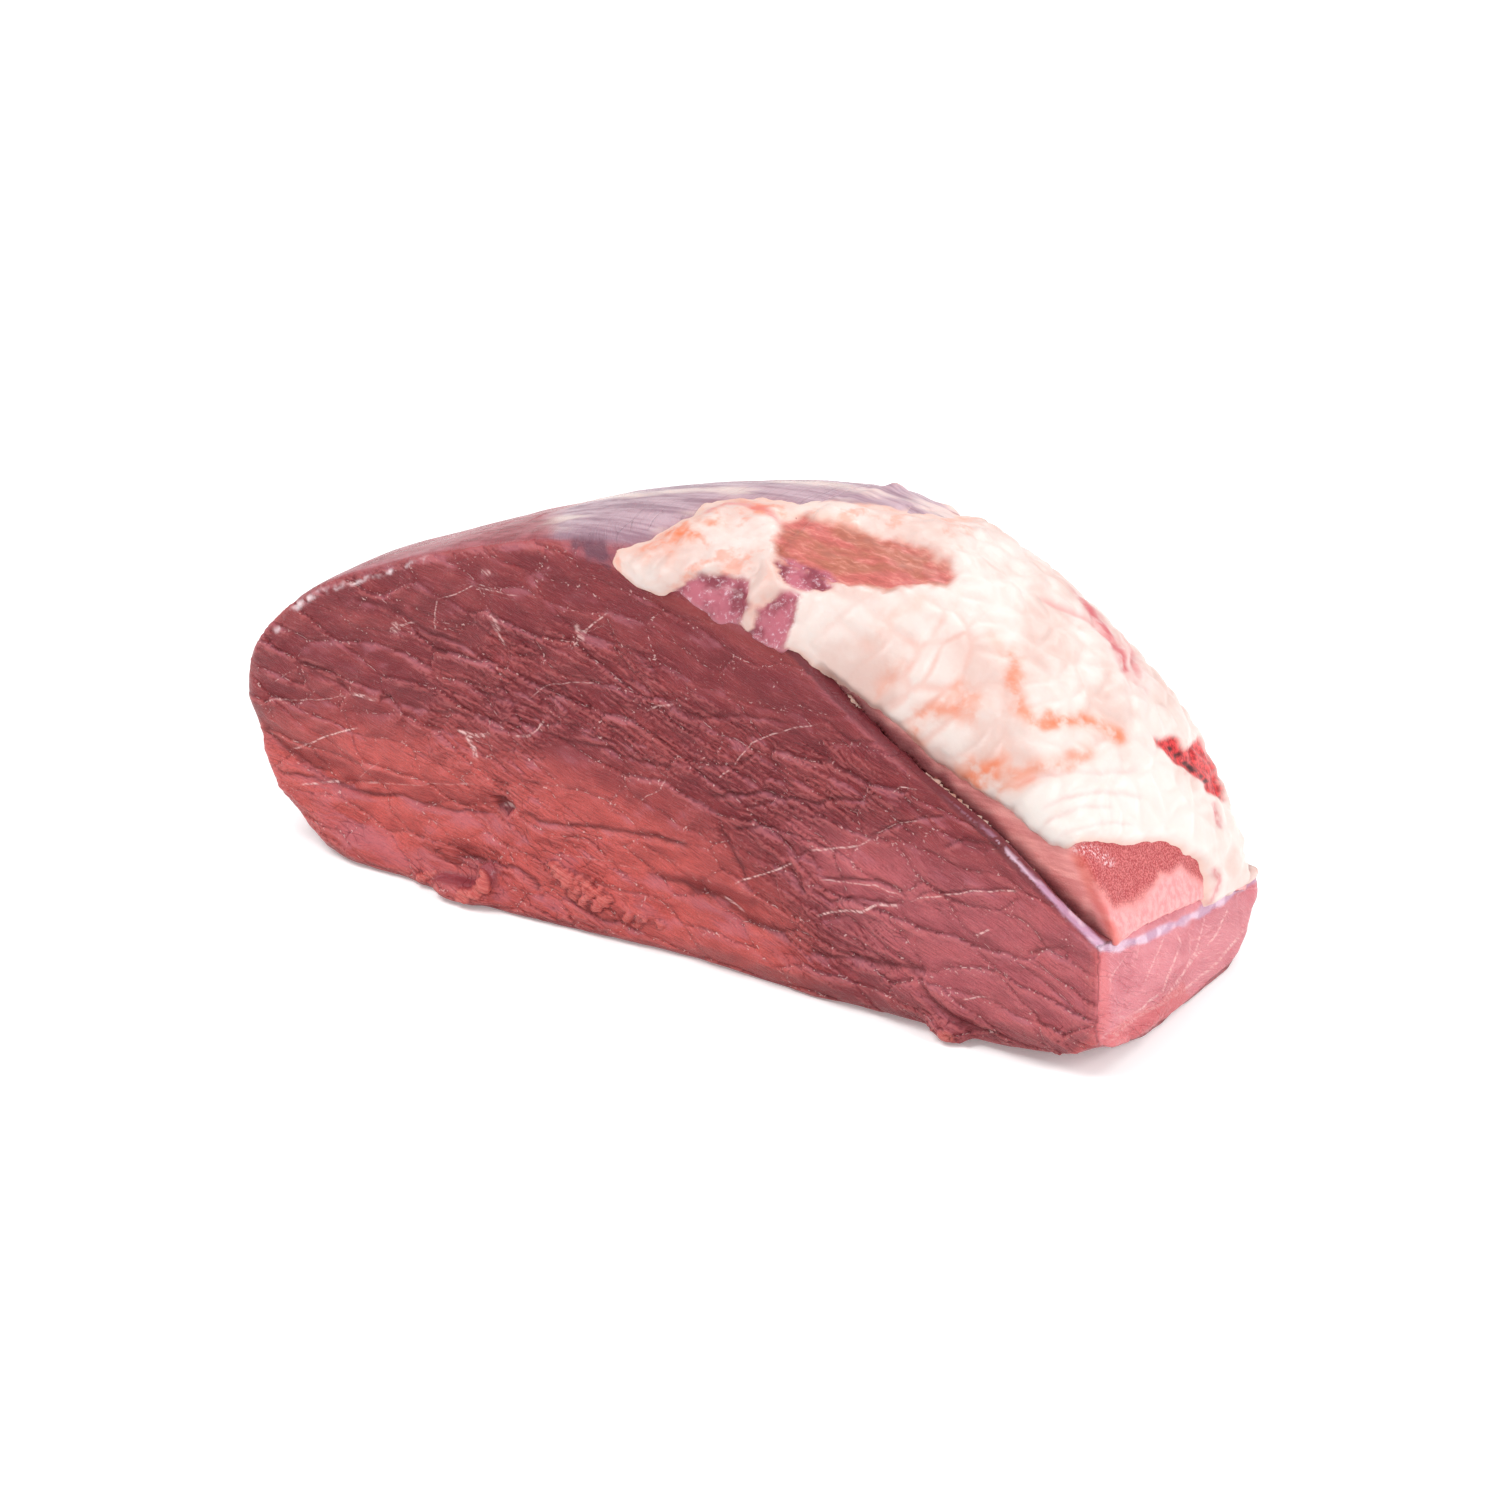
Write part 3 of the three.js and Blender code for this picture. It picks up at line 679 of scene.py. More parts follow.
def add_creases(photo, relief, creases):
    """A relief with named creases cut into it, and the painted shade along and above them."""
    relief = relief.copy()
    crease_shade = np.zeros(len(photo))
    wave = 1.6 * noises(photo / 9, 91, 92)
    for line, depth, width, proud in creases:
        away, place, side = to_line(photo + wave, line)
        taper = smoothstep(place, 0.0, 0.12) * smoothstep(1 - place, 0.0, 0.12)
        near = np.exp(-((away / width) ** 2)) * taper
        below = smoothstep(side * away, -1.5, 1.5) * np.exp(-away / 12) * taper
        relief += 0.7 * (proud * below - depth * near)
        crease_shade = np.maximum(crease_shade, near * smoothstep(-side * away, -2.5, 1.5) * min(1, depth))
    return relief, crease_shade


def pale_lines(photo):
    """The signed distance to the nearest pale line, and how bright the line is there."""
    best = np.full(len(photo), 1e9)
    signed = np.zeros(len(photo))
    bright = np.zeros(len(photo))
    wave = noises(photo / 10, 95, 96)
    for line, strength, width in PALE_LINES:
        away, place, side = to_line(photo + wave, line)
        nearer = away / width < best
        best[nearer] = (away / width)[nearer]
        signed[nearer] = (side * away / width)[nearer]
        taper = smoothstep(place, -0.02, 0.1) * smoothstep(1 - place, -0.02, 0.1)
        bright[nearer] = (strength * taper)[nearer]
    return np.clip(signed, -8, 8), bright * (best < 7)


# The pale silverskin along the lean's edge in the seam and over the end face
RIM = [
    (925, 778), (957, 806), (990, 834), (1013, 858), (1030, 875), (1047, 893), (1063, 908),
    (1080, 925), (1103, 948), (1113, 948), (1147, 938), (1180, 922), (1207, 908), (1240, 888),
    (1256, 876),
]
# The thin bluish film over the top left of the joint, and its darkest spot
FILM = [
    (556, 540), (560, 520), (575, 480), (700, 450), (860, 440), (1000, 480), (1010, 545), (950, 525),
    (870, 508), (800, 502), (740, 493), (702, 502), (690, 515), (655, 532), (625, 545), (612, 580),
    (592, 560), (575, 548),
]
BRUISE = [(575, 545), (590, 537), (606, 545), (614, 556), (608, 563), (592, 556)]
# The painted glint along the joint's upper left edge, and the brownish edge beside the fat
WET_GLINT = [(276, 630), (287, 616), (302, 603), (322, 592), (345, 584), (370, 577), (400, 568), (430, 559)]
LIP = [
    (655, 596), (690, 608), (720, 622), (750, 640), (790, 654), (830, 682), (870, 718), (900, 752),
    (930, 784), (970, 820), (1005, 852),
]


def rim_share(photo, facing):
    away, place, _ = to_line(photo + 1.5 * noises(photo / 8, 97), RIM)
    width = mix(1.0, 6.0, smoothstep(place, 0.2, 0.55)) + noise(photo / 11, 98)
    upper = np.maximum(smoothstep(facing[:, 2], 0.1, 0.5), smoothstep(facing[:, 0], 0.5, 0.8))
    return smoothstep(-away, -width, -0.4 * width) * upper * smoothstep(place, 0.0, 0.4)


def scrap_relief(photo):
    """How far the scraps stand proud, in mm."""
    proud = np.zeros(len(photo))
    wave = 2.6 * noises(photo / 4, 65, 66)
    for across, down, radius, height in SCRAPS:
        away = np.linalg.norm(photo + wave - (across, down), axis=1) / (1.15 * radius)
        proud = np.maximum(proud, 0.65 * height * np.sqrt(np.clip(1 - away**2, 0, 1)))
    return proud


def film_share(photo, points, facing):
    """How much film covers each place. It thins out raggedly behind, where it doesn't show."""
    room = inside(photo, FILM) + 9 * fractal(photo / 22, 2, 98)
    ragged = 0.5 * fractal(points / (24, 15, 15), 3, 67)
    hidden = 1 - seen_share(points, facing, 0.0)
    room = room + hidden * 60 * (ragged - 0.3)
    lit = np.einsum("ij,ij->i", to_camera(points), facing)
    return smoothstep(room, -20, 4) * smoothstep(lit + 0.5 * ragged, -0.45, -0.05)


def store_form(obj, edges):
    """Stores how far each place faces up, and how hollow it is there, in mm."""
    points = places(obj)
    facing = normals(obj)
    store(obj, "up", averaged(facing[:, 2], edges, 1))
    hollow = np.einsum("ij,ij->i", averaged(points, edges, 3) - points, facing)
    store(obj, "hollow", hollow)


def on_cuts(obj):
    """Where a vertex is on the cut face or on the end face."""
    points = places(obj)
    facing = normals(obj)
    front = (points[:, 1] < FRONT_Y + 6) & (facing[:, 1] < -0.15)
    end = (points[:, 0] > END_X - 3) & (facing[:, 0] > 0.2)
    return front | end


def cut_relief(obj, photo, place, spaces):
    """The cut face's relief in mm from its bundles, strands and wrinkles, and how rough it is."""
    calm = patch(photo, CALM, -22, 14)
    rough = smoothstep(noise(place / 22, 41), -0.6, 0.5) * (1 - 0.85 * calm)
    relief = 0.75 * (1 - 0.5 * calm) * steps_of(obj, "bundle", spaces["bundle"], 0.6, 0.45)
    relief += 0.48 * mix(0.15, 1.0, rough) * steps_of(obj, "strand", spaces["strand"], 0.4, 0.25)
    relief += 0.22 * mix(0.1, 1.0, rough) * steps_of(obj, "wrinkle", spaces["wrinkle"], 0.3, 0.5)
    relief += 0.9 * fractal(place / 34, 2, 51)
    relief += 0.3 * mix(0.4, 1.0, rough) * fractal(spaces["strand"] * (0.9, 0.7, 1.0) + 7, 2, 55)
    return relief, rough


def edge_looks(photo, facing, seen):
    """Shares of the strips of another colour along the lean's edges, among them painted light and shade:
    a glow along the rounded edges, shade in the seam's groove and a glint along the upper left edge.
    """
    corner = beside(photo, CORNER_GLOW, 11, 2)
    corner = np.maximum(corner, beside(photo, LEFT_FOOT_GLOW, 9, 1))
    strip = patch(photo, FOOT_STRIP, -3, 3, 3, 7, 93)
    bruise = patch(photo, BRUISE, -8, 4, 4, 7, 94)
    # Painted shade in the seam's groove, where the lean's edge faces up into it
    groove = beside(photo, SEAM, 18, 9) * smoothstep(facing[:, 2], 0.1, 0.35)
    return {
        "corner": np.maximum(corner, strip),
        "painted_glint": beside(photo + noises(photo / 10, 78), WET_GLINT, 4.5, 0.5) * seen,
        "lip": beside(photo + 1.5 * noises(photo / 10, 79), LIP, 11, 3) * seen,
        "bruise": bruise * seen,
        "groove": groove * seen,
        "rim": rim_share(photo, facing) * seen,
    }


def shape_lean():
    obj = copy_of("lean", "lean_meat")
    remeshed(obj, LEAN_VOXEL)
    smoothed(obj, 6)
    thinned(obj, ~on_cuts(obj), PLAIN_LEFT)
    refined(obj, on_cuts(obj))
    edges = edges_of(obj)
    points = places(obj)
    facing = normals(obj)
    photo = to_photo(points * MM)
    on_end = (facing[:, 0] > 0.75) & (points[:, 0] > END_X - 6)
    across = np.where(on_end, END_PLACE + points[:, 1], points[:, 0])
    place = np.stack((across, points[:, 2]), axis=1)
    front_share = smoothstep(-facing[:, 1], 0.35, 0.75) * (points[:, 1] < FRONT_Y + 8)
    end_share = smoothstep(facing[:, 0], 0.6, 0.85) * (points[:, 0] > END_X - 6)
    cut = np.maximum(front_share, end_share)
    spaces = {
        "bundle": cell_space(place, BUNDLE_SIZE, BUNDLE_SLOPE, BUNDLE_LEAN, 11, 3.0),
        "strand": cell_space(place, STRAND_SIZE, STRAND_SLOPE, STRAND_LEAN, 29, 2.0),
        "wrinkle": cell_space(place, WRINKLE_SIZE, STRAND_SLOPE, STRAND_LEAN, 63, 1.6),
    }
    store_looks(obj, spaces)
    for name in spaces:
        store_cells(obj, name)
    relief, rough = cut_relief(obj, photo, place, spaces)
    relief *= (1 - 0.6 * end_share) * smoothstep(points[:, 0], LEFT_X - 6, LEFT_X + 14)
    relief, crease_shade = add_creases(photo, relief, CREASES)
    hole = patch(photo, HOLE, -3, 4)
    scraps = scrap_relief(photo)
    salmon = patch(photo, SALMON, -45, 45) * front_share
    relief = ((relief - HOLE_DEPTH * hole) * (1 - 0.35 * salmon) + scraps) * cut
    outer = 0.5 * fractal(points / 18, 3, 61) + 0.4 * fractal(points / (45, 8, 8), 2, 68)
    move_to(obj, points + facing * (relief + outer * (1 - cut))[:, None])
    boxed(obj)
    store_form(obj, edges)
    signed, bright = pale_lines(photo)
    looks = edge_looks(photo, facing, seen_share(points, facing))
    looks["corner"] *= cut
    looks |= {
        "pale_side": signed,
        "pale": bright * cut,
        "scrap": smoothstep(scraps, 0.0, 1.0) * cut,
        "crease_shade": np.maximum(crease_shade, hole) * front_share,
        "salmon": salmon,
        "deep": patch(photo, DARK, -50, 50) * front_share,
        "light": patch(photo, LIGHT, -40, 35) * front_share,
        "cut": averaged(cut, edges, 2),
        "end": averaged(end_share, edges, 2),
        "rough": rough,
        "film": film_share(photo, points, facing) * (1 - cut),
    }
    store_looks(obj, looks)
    return obj


# The cap muscle

# Its cut end: the red patch with open grain, and the paler slope below it
GRAIN_PATCH = [
    (1073, 850), (1087, 873), (1097, 888), (1113, 907), (1133, 903), (1147, 890), (1163, 876),
    (1182, 868), (1200, 880), (1215, 860), (1180, 835), (1123, 832), (1080, 838),
]
SLOPE_PATCH = [
    (1086, 872), (1097, 887), (1113, 907), (1133, 903), (1147, 890), (1163, 875), (1185, 866),
    (1215, 850), (1245, 890), (1180, 925), (1112, 955), (1096, 925), (1090, 895),
]
# The patch on top where the fat is missing and a brown membrane shows
BROWN_PATCH = [
    (787, 526), (804, 521), (836, 530), (864, 536), (893, 544), (922, 555), (942, 567), (951, 578),
    (945, 584), (916, 588), (884, 591), (864, 588), (841, 584), (818, 576), (802, 569), (787, 568),
    (780, 558), (777, 547),
]
# The open seam between the muscles, given painted shade, the cut end's front edge, and the painted glint
# at its tip
SEAM = [
    (797, 652), (830, 683), (863, 712), (923, 764), (953, 793), (980, 817), (1013, 850), (1047, 884),
    (1080, 914), (1109, 941),
]
RIDGE = [(1078, 858), (1088, 880), (1098, 905), (1110, 936)]
CAP_GLINT = [(1078, 848), (1098, 853), (1108, 862)]
CAP_VOXEL = 0.9
CAP_CLOSING = np.array((2.2, 0.0, -1.6))  # how far its lower end edge moves to lie on the lean, in mm


def shape_cap(lean):
    obj = copy_of("cap_muscle", "cap_meat")
    remeshed(obj, CAP_VOXEL)
    smoothed(obj, 5)
    points = places(obj)
    facing = normals(obj)
    photo = to_photo(points * MM)
    seen = seen_share(points, facing)
    relief = 0.3 * fractal(points / 7, 3, 71)
    near = points[:, 0] > 112
    away = np.full(len(points), 9.0)
    away[near] = distance_on(tree_of([lean]), points[near])
    closing = smoothstep(-away, -8, -0.5) * smoothstep(points[:, 0], 112, 126)
    closing *= smoothstep(points[:, 1], -54, -47)
    move_to(obj, points + facing * relief[:, None] + closing[:, None] * CAP_CLOSING)
    boxed(obj)
    front = smoothstep(-facing[:, 1], 0.0, 0.4) * smoothstep(-points[:, 1], 20, 34)
    end = smoothstep(facing[:, 0], 0.3, 0.6) * smoothstep(points[:, 0], 108, 118)
    grain = patch(photo, GRAIN_PATCH, -5, 6, 4, 9, 74) * seen
    slope = patch(photo, SLOPE_PATCH, -4, 4, 3, 9, 75) * seen
    rim = beside(photo + 1.5 * noises(photo / 8, 97), RIM[7:], 10, 3)
    # Painted shade in the open seam
    seam = np.abs(to_line(photo, SEAM)[0] + 2 * noise(photo / 11, 76))
    ridge = to_line(photo, RIDGE)[0] + 2 * noise(photo / 8, 77)
    looks = {
        "cut": np.maximum(front, end) * smoothstep(-points[:, 1], -34, -16),
        "grain_patch": grain,
        "slope_patch": slope * (1 - grain),
        "film": film_share(photo, points, facing),
        "white_edge": rim * smoothstep(facing[:, 0], 0.2, 0.5) * seen,
        "seam": smoothstep(-seam, -15, -2) * seen,
        "ridge": smoothstep(-ridge, -10, 0) * seen,
        "painted_glint": beside(photo, CAP_GLINT, 9, 2) * seen,
    }
    store_looks(obj, looks)
    store_form(obj, edges_of(obj))
    return obj


# The fat

# In mm: the underside lies this deep in what carries it, so that no gap shows; how thick the fat is,
# and the membrane over the patches without fat; and the fat's upper side where there is neither
FAT_SUNK = 1.5
FAT_FULL = 2.5
SKIN_FULL = 0.5
FAT_NONE = -0.9
FAT_REACH = 1.4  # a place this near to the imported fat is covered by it
FAT_VOXEL = 0.95
LOBULE_SIZE = 9.0
BLOOD_DEPTH = 0.9
STREAK_FALL = 0.28  # the angle at which the brown patch's streaks fall, in radians
# Where the pink net between the lobules shows most
NET = [(835, 600), (900, 590), (980, 630), (1015, 680), (1005, 745), (930, 745), (860, 680)]
# Where the fat is lumpy, at its left end and along its upper edge
LUMPY = [
    (600, 560), (640, 530), (700, 495), (860, 500), (1000, 520), (960, 540), (800, 520), (770, 560),
    (750, 600), (730, 600), (680, 585), (650, 595),
]
# Where it is whitest
WHITE = [(1000, 800), (1060, 775), (1150, 765), (1200, 820), (1200, 860), (1120, 842), (1060, 848)]
# Pink folds and the edge of the flap on the right, as the stains
PINKS = [
    ([(1054, 574), (1066, 588), (1079, 608)], 5, 0.8),
    ([(1079, 612), (1098, 632), (1110, 655), (1118, 674)], 4, 1.0),
    ([(1130, 636), (1145, 655), (1158, 675), (1167, 692)], 4, 1.0),
    ([(1104, 640), (1122, 662), (1132, 688)], 10, 0.35),
    ([(1166, 690), (1180, 712)], 4, 0.5),
    ([(1206, 806), (1213, 828)], 3, 0.8),
    ([(1208, 870), (1213, 884), (1207, 902)], 3, 0.8),
]
# Where the photograph shows fat: from its left tip along the lower edge, round and back over the top
FAT_OUTLINE = [
    (605, 567), (623, 582), (647, 593), (663, 599), (680, 590), (695, 582), (720, 580), (737, 583),
    (748, 588), (748, 595), (743, 603), (742, 613), (737, 620), (742, 628), (750, 633), (756, 627),
    (760, 618), (768, 606), (782, 599), (793, 603), (793, 613), (785, 635), (777, 647), (793, 651),
    (802, 658), (813, 667), (833, 677), (847, 690), (867, 703), (887, 717), (913, 742), (930, 757),
    (947, 770), (967, 783), (987, 797), (1007, 808), (1020, 820), (1037, 835), (1053, 847),
    (1067, 848), (1080, 843), (1103, 842), (1123, 846), (1147, 842), (1163, 842), (1180, 850),
    (1197, 863), (1202, 880), (1203, 907), (1240, 889), (1290, 860), (1250, 740), (1180, 620),
    (1080, 530), (985, 490), (962, 514), (940, 511), (900, 505), (870, 500), (830, 497), (790, 496),
    (740, 491), (702, 500), (688, 512), (662, 527), (645, 536), (618, 543), (609, 553),
]
# Folds of the fat, as the cut face's creases, with painted shade along them
FAT_FOLDS = [
    ([(1048, 573), (1070, 590), (1092, 612), (1112, 632), (1124, 652), (1131, 690)], 1.3, 5, 0.8),
    ([(1030, 603), (1062, 618), (1092, 634), (1112, 655), (1124, 690)], 0.7, 5, 0.3),
    ([(1122, 634), (1140, 652), (1158, 680), (1172, 706)], 0.8, 4, 0.5),
    ([(702, 523), (722, 512), (745, 513), (765, 517), (786, 530)], 0.9, 4, 0.4),
    ([(1040, 812), (1070, 800), (1105, 796), (1140, 800)], 0.3, 4, 0.3),
    ([(1045, 825), (1075, 812), (1110, 808)], 0.25, 3, 0.3),
    ([(1060, 838), (1095, 826), (1130, 826)], 0.25, 3, 0.3),
    ([(1010, 790), (1050, 778), (1090, 778), (1140, 772)], 0.25, 5, 0.3),
]
BLOOD = [
    (1148, 741), (1165, 739), (1178, 750), (1192, 741), (1203, 752), (1212, 783), (1217, 803),
    (1198, 790), (1176, 770), (1158, 755),
]
CLOTS = [(1166, 750), (1173, 756), (1181, 764), (1188, 772), (1195, 778), (1185, 768), (1199, 783)]
# Orange red stains, as a line, a radius in pixels and a strength
STAINS = [
    ([(675, 541), (688, 537), (695, 541)], 8, 1.0),
    ([(698, 524), (712, 531), (730, 532)], 5, 0.6),
    ([(640, 560), (655, 548), (670, 560)], 10, 0.35),
    ([(735, 500), (755, 512), (772, 518)], 7, 0.5),
    ([(905, 740), (922, 722), (940, 708), (962, 706)], 12, 0.7),
    ([(955, 690), (975, 702), (972, 716)], 9, 0.5),
    ([(1010, 665), (1012, 690), (1018, 712), (1034, 728)], 8, 0.75),
    ([(1034, 728), (1055, 722), (1075, 724), (1098, 732), (1110, 738)], 8, 0.9),
    ([(960, 785), (980, 773), (1000, 768)], 13, 0.85),
    ([(1015, 776), (1040, 768), (1060, 768), (1082, 757)], 8, 0.6),
    ([(1000, 790), (1030, 780)], 8, 0.5),
    ([(880, 690), (900, 665)], 10, 0.3),
    ([(990, 640), (1000, 660)], 8, 0.3),
    ([(870, 640), (890, 620), (920, 610)], 9, 0.2),
]


def bare_room(photo):
    """How far inside the patches without fat a place of the photograph is, in pixels."""
    purple = np.maximum(inside(photo, PURPLE), inside(photo, PURPLE_RIGHT))
    purple = np.maximum(purple, inside(photo, PURPLE_TOP)) + 2 * noise(photo / 8, 99)
    return purple, inside(photo, BROWN_PATCH) + 5 * fractal(photo / 12, 3, 80)


def fat_room(photo):
    """How far inside the fat's outline a place of the photograph is, in pixels."""
    bare = np.maximum(bare_room(photo)[1], inside(photo, PURPLE_TOP))
    return np.minimum(inside(photo, FAT_OUTLINE), -bare) + 3.2 * fractal(photo / 8, 3, 83)


def joined(objects, name):
    """One object with copies of some objects' meshes."""
    obj = new_object(name, bpy.data.meshes.new(name))
    shape = bmesh.new()
    for part in objects:
        shape.from_mesh(part.data)
    shape.to_mesh(obj.data)
    shape.free()
    return obj


def thickened(obj, kept, top, bottom):
    """Keeps the chosen faces and makes a solid of them, from one set of places to another."""
    faces = [tuple(f.vertices) for f in obj.data.polygons if kept[list(f.vertices)].all()]
    used = np.unique([k for face in faces for k in face])
    place = np.full(len(kept), -1)
    place[used] = np.arange(len(used))
    walls = {}
    solid = []
    for face in faces:
        ring = [int(place[k]) for k in face]
        solid.append(ring)
        solid.append([k + len(used) for k in reversed(ring)])
        for a, b in zip(ring, ring[1:] + ring[:1]):
            if (b, a) in walls:
                del walls[(b, a)]
            else:
                walls[(a, b)] = True
    solid.extend([b, a, a + len(used), b + len(used)] for a, b in walls)
    mesh = bpy.data.meshes.new(obj.name)
    corners = np.concatenate((top[used], bottom[used])) * MM
    mesh.from_pydata(corners.tolist(), [], solid)
    mesh.shade_smooth()
    old = obj.data
    obj.data = mesh
    bpy.data.meshes.remove(old)
    return np.concatenate((used, used))


def fat_behind(ground, edges, off_lean, off_cap):
    """How much fat covers each place on the side that doesn't show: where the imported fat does."""
    packed = copy_of("fat_cap", "packed_fat")
    covered = within(tree_of([packed]), ground, FAT_REACH)
    bpy.data.objects.remove(packed)
    behind = averaged(covered.astype(float), edges, 14) + 0.15 * fractal(ground / 9, 3, 69)
    behind = smoothstep(behind, 0.3, 0.9) * smoothstep(off_lean - off_cap, -0.8, 0.4)
    return averaged(behind * smoothstep(ground[:, 2], 27, 36), edges, 10)


def lobule_space(ground):
    """Coordinates in which one lobule of the fat takes one unit."""
    level = 0 * ground[:, 0]
    bend = np.stack((noise(ground / 9, 86), noise(ground / 9, 84), level), axis=1)
    space = np.stack((ground[:, 0] - 0.7 * ground[:, 2], ground[:, 1], level), axis=1)
    return (space + 3.5 * bend) / LOBULE_SIZE


def clot_share(photo):
    clot = np.zeros(len(photo))
    for spot in CLOTS:
        away = np.linalg.norm(photo - spot, axis=1) + 1.5 * noise(photo / 3, 89)
        clot = np.maximum(clot, smoothstep(-away, -4, -1.5))
    return clot


def veil_share(ground, edges, off_lean, off_cap):
    """Where a thin skin covers the cap muscle's thin rim on the lean."""
    veil = smoothstep(-np.maximum(off_lean, off_cap), -4.5, -2.5)
    veil *= smoothstep(ground[:, 1], -46, -36) * smoothstep(-ground[:, 0], -122, -106)
    return averaged(veil, edges, 6)


def streak_space(photo):
    """Coordinates along and across the brown patch's streaks, in hundreds of pixels."""
    along = photo @ (math.cos(STREAK_FALL), math.sin(STREAK_FALL))
    across = photo @ (-math.sin(STREAK_FALL), math.cos(STREAK_FALL))
    return np.column_stack((along, across, 0 * along)) / 100


def shape_fat(carriers):
    obj = joined(carriers, "fat_layer")
    remeshed(obj, FAT_VOXEL)
    smoothed(obj, 40)
    edges = edges_of(obj)
    ground = places(obj)
    up = averaged(normals(obj), edges, 6)
    up /= np.linalg.norm(up, axis=1)[:, None]
    photo = to_photo(ground * MM)
    seen = seen_share(ground, up)
    seen *= 1 - averaged(hidden_share(tree_of([obj]), ground, up), edges, 3)
    off_lean, off_cap = (distance_on(tree_of([carrier]), ground) for carrier in carriers)
    film_near = patch(photo, FILM, -34, -4)
    front = smoothstep(fat_room(photo), -2, mix(8, 26, film_near)) ** 0.75
    share = mix(fat_behind(ground, edges, off_lean, off_cap), front, seen)
    lobule = lobule_space(ground)
    store(obj, "lobule", lobule)
    store_cells(obj, "lobule")
    lumpy = patch(photo, LUMPY, -30, 10)
    lobes = 0.7 * smoothstep(stored(obj, "lobule_edge"), 0.0, 0.3) - 0.5
    lobes += 0.5 * fractal(ground / 13, 2, 81)
    lobes += mix(0.25, 0.9, lumpy) * fractal(ground / 5.5, 3, 85)
    purple, brown = bare_room(photo)
    veil = veil_share(ground, edges, off_lean, off_cap)
    skin = smoothstep(np.maximum(purple, brown), -6, 1) * seen
    skin = np.maximum(skin, smoothstep(veil, 0.1, 0.6))
    damp = 0.35 * fractal(ground / 2.6, 2, 64) * smoothstep(purple, -4, 2)
    damp += 0.4 * fractal(photo / (15, 5), 2, 73) * smoothstep(brown, -4, 2)
    thickness = mix(mix(FAT_NONE, SKIN_FULL, skin), FAT_FULL, share) + lobes * share + damp * skin
    folded, fold_shade = add_creases(photo, thickness, FAT_FOLDS)
    blood = patch(photo, BLOOD, -3, 3, 3, 7, 87) * seen
    thickness = mix(thickness, folded, seen) - BLOOD_DEPTH * blood
    points = averaged(ground + up * thickness[:, None], edges, 1)
    kept = averaged(((share > 0) | (skin > 0)).astype(float), edges, 3) > 0
    chosen = thickened(obj, kept, points, ground - FAT_SUNK * up)
    boxed(obj)
    film = film_share(photo, ground, up)
    bare = smoothstep(-share, -0.5, -0.3)
    white = smoothstep(inside(photo, WHITE) + 12 * fractal(photo / 20, 2, 72), -30, 20)
    rim = smoothstep(purple, -10, -6) * smoothstep(-share, -0.35, -0.15)
    looks = {
        "lobule": lobule,
        "mottled": lumpy * seen,
        "net": patch(photo, NET, -45, 30) * seen,
        "stain": stains(photo, STAINS, 88) * seen,
        "pink": stains(photo, PINKS, 82) * seen,
        "fold_shade": fold_shade * seen,
        "blood": blood,
        "clot": clot_share(photo) * seen,
        "edge_share": 1 - share,
        "veil": smoothstep(veil, 0.1, 0.4) * bare * np.maximum(1 - seen, film),
        "film": film,
        "white": white * seen,
        "purple": np.maximum(smoothstep(purple, -4, 2), rim) * seen,
        "brown": smoothstep(brown, -7, 2) * seen,
        "streak": streak_space(photo),
    }
    store_looks(obj, looks, chosen)
    store_form(obj, edges_of(obj))
    return obj


# The materials


CREASE_SHADE_RED = (104, 30, 36)
PALE = (240, 196, 192)


def deepened(s, base, rough, strand, wrinkle):
    """The cut face's colours with painted shade along its strands' and wrinkles' edges, as in fine
    creases, and how much the wrinkles' edges get."""
    ragged = s.noise(s.scaled(strand, (0.8, 0.5, 1.0)), 1.0, 3.0)
    thin = s.math("MAXIMUM", s.times(s.ramp(ragged, 0.42, 0.7, 0.005, 0.11), rough), 0.0001)
    small = s.math("SUBTRACT", 1.0, s.math("DIVIDE", s.edges(strand), thin), clamp=True)
    base = s.blend(s.times(small, 0.5), base, CREASE_SHADE_RED)
    worn = s.noise(s.scaled(wrinkle, (0.5, 0.35, 1.0)), 1.0, 3.0)
    hair = s.math("MAXIMUM", s.times(s.ramp(worn, 0.45, 0.65, 0.0, 0.14), rough), 0.0001)
    tiny = s.math("SUBTRACT", 1.0, s.math("DIVIDE", s.edges(wrinkle), hair), clamp=True)
    return s.blend(s.times(tiny, 0.42), base, CREASE_SHADE_RED), tiny


def pale_shares(s, edge, strand, where):
    """The shares of the measured pale lines, partly connective tissue and partly painted glints, and of
    all that is pale: lines, threads of connective tissue and tiny painted glints.
    """
    dashes = s.noise(s.scaled(strand, (4.0, 3.0, 1.0)), 1.0, 3.0)
    threads = s.times(s.ramp(edge, 0.0, 0.014, 1.0, 0.0), s.ramp(dashes, 0.55, 0.64))
    # Tiny painted glints, mostly along the bundles' borders
    glint_specks = s.ramp(s.noise(where, 1100.0, 1.0), 0.66, 0.74)
    glint_specks = s.times(glint_specks, s.ramp(edge, 0.0, 0.16, 1.0, 0.12))
    near = s.math("ABSOLUTE", s.value("pale_side"))
    line = s.times(s.ramp(near, 0.15, 1.0, 1.0, 0.0), s.value("pale"))
    line = s.times(line, s.ramp(dashes, 0.42, 0.58, 0.1, 0.9))
    pale = s.math("MAXIMUM", s.times(threads, 0.7), line)
    return line, s.math("MAXIMUM", s.times(glint_specks, 0.6), pale)


def end_colour(s, clouds, fibres, edge, fading, line):
    """The end face's paler colours."""
    flat = s.blend(s.ramp(clouds, 0.4, 0.65), (208, 120, 130), (192, 98, 110))
    flat = s.blend(s.ramp(fibres, 0.5, 0.66, 0.0, 0.5), flat, (236, 160, 162))
    pale_edge = s.times(s.ramp(edge, 0.0, 0.05, 0.3, 0.0), s.ramp(fading, 0.45, 0.6))
    flat = s.blend(pale_edge, flat, (240, 184, 184))
    return s.blend(line, flat, PALE)


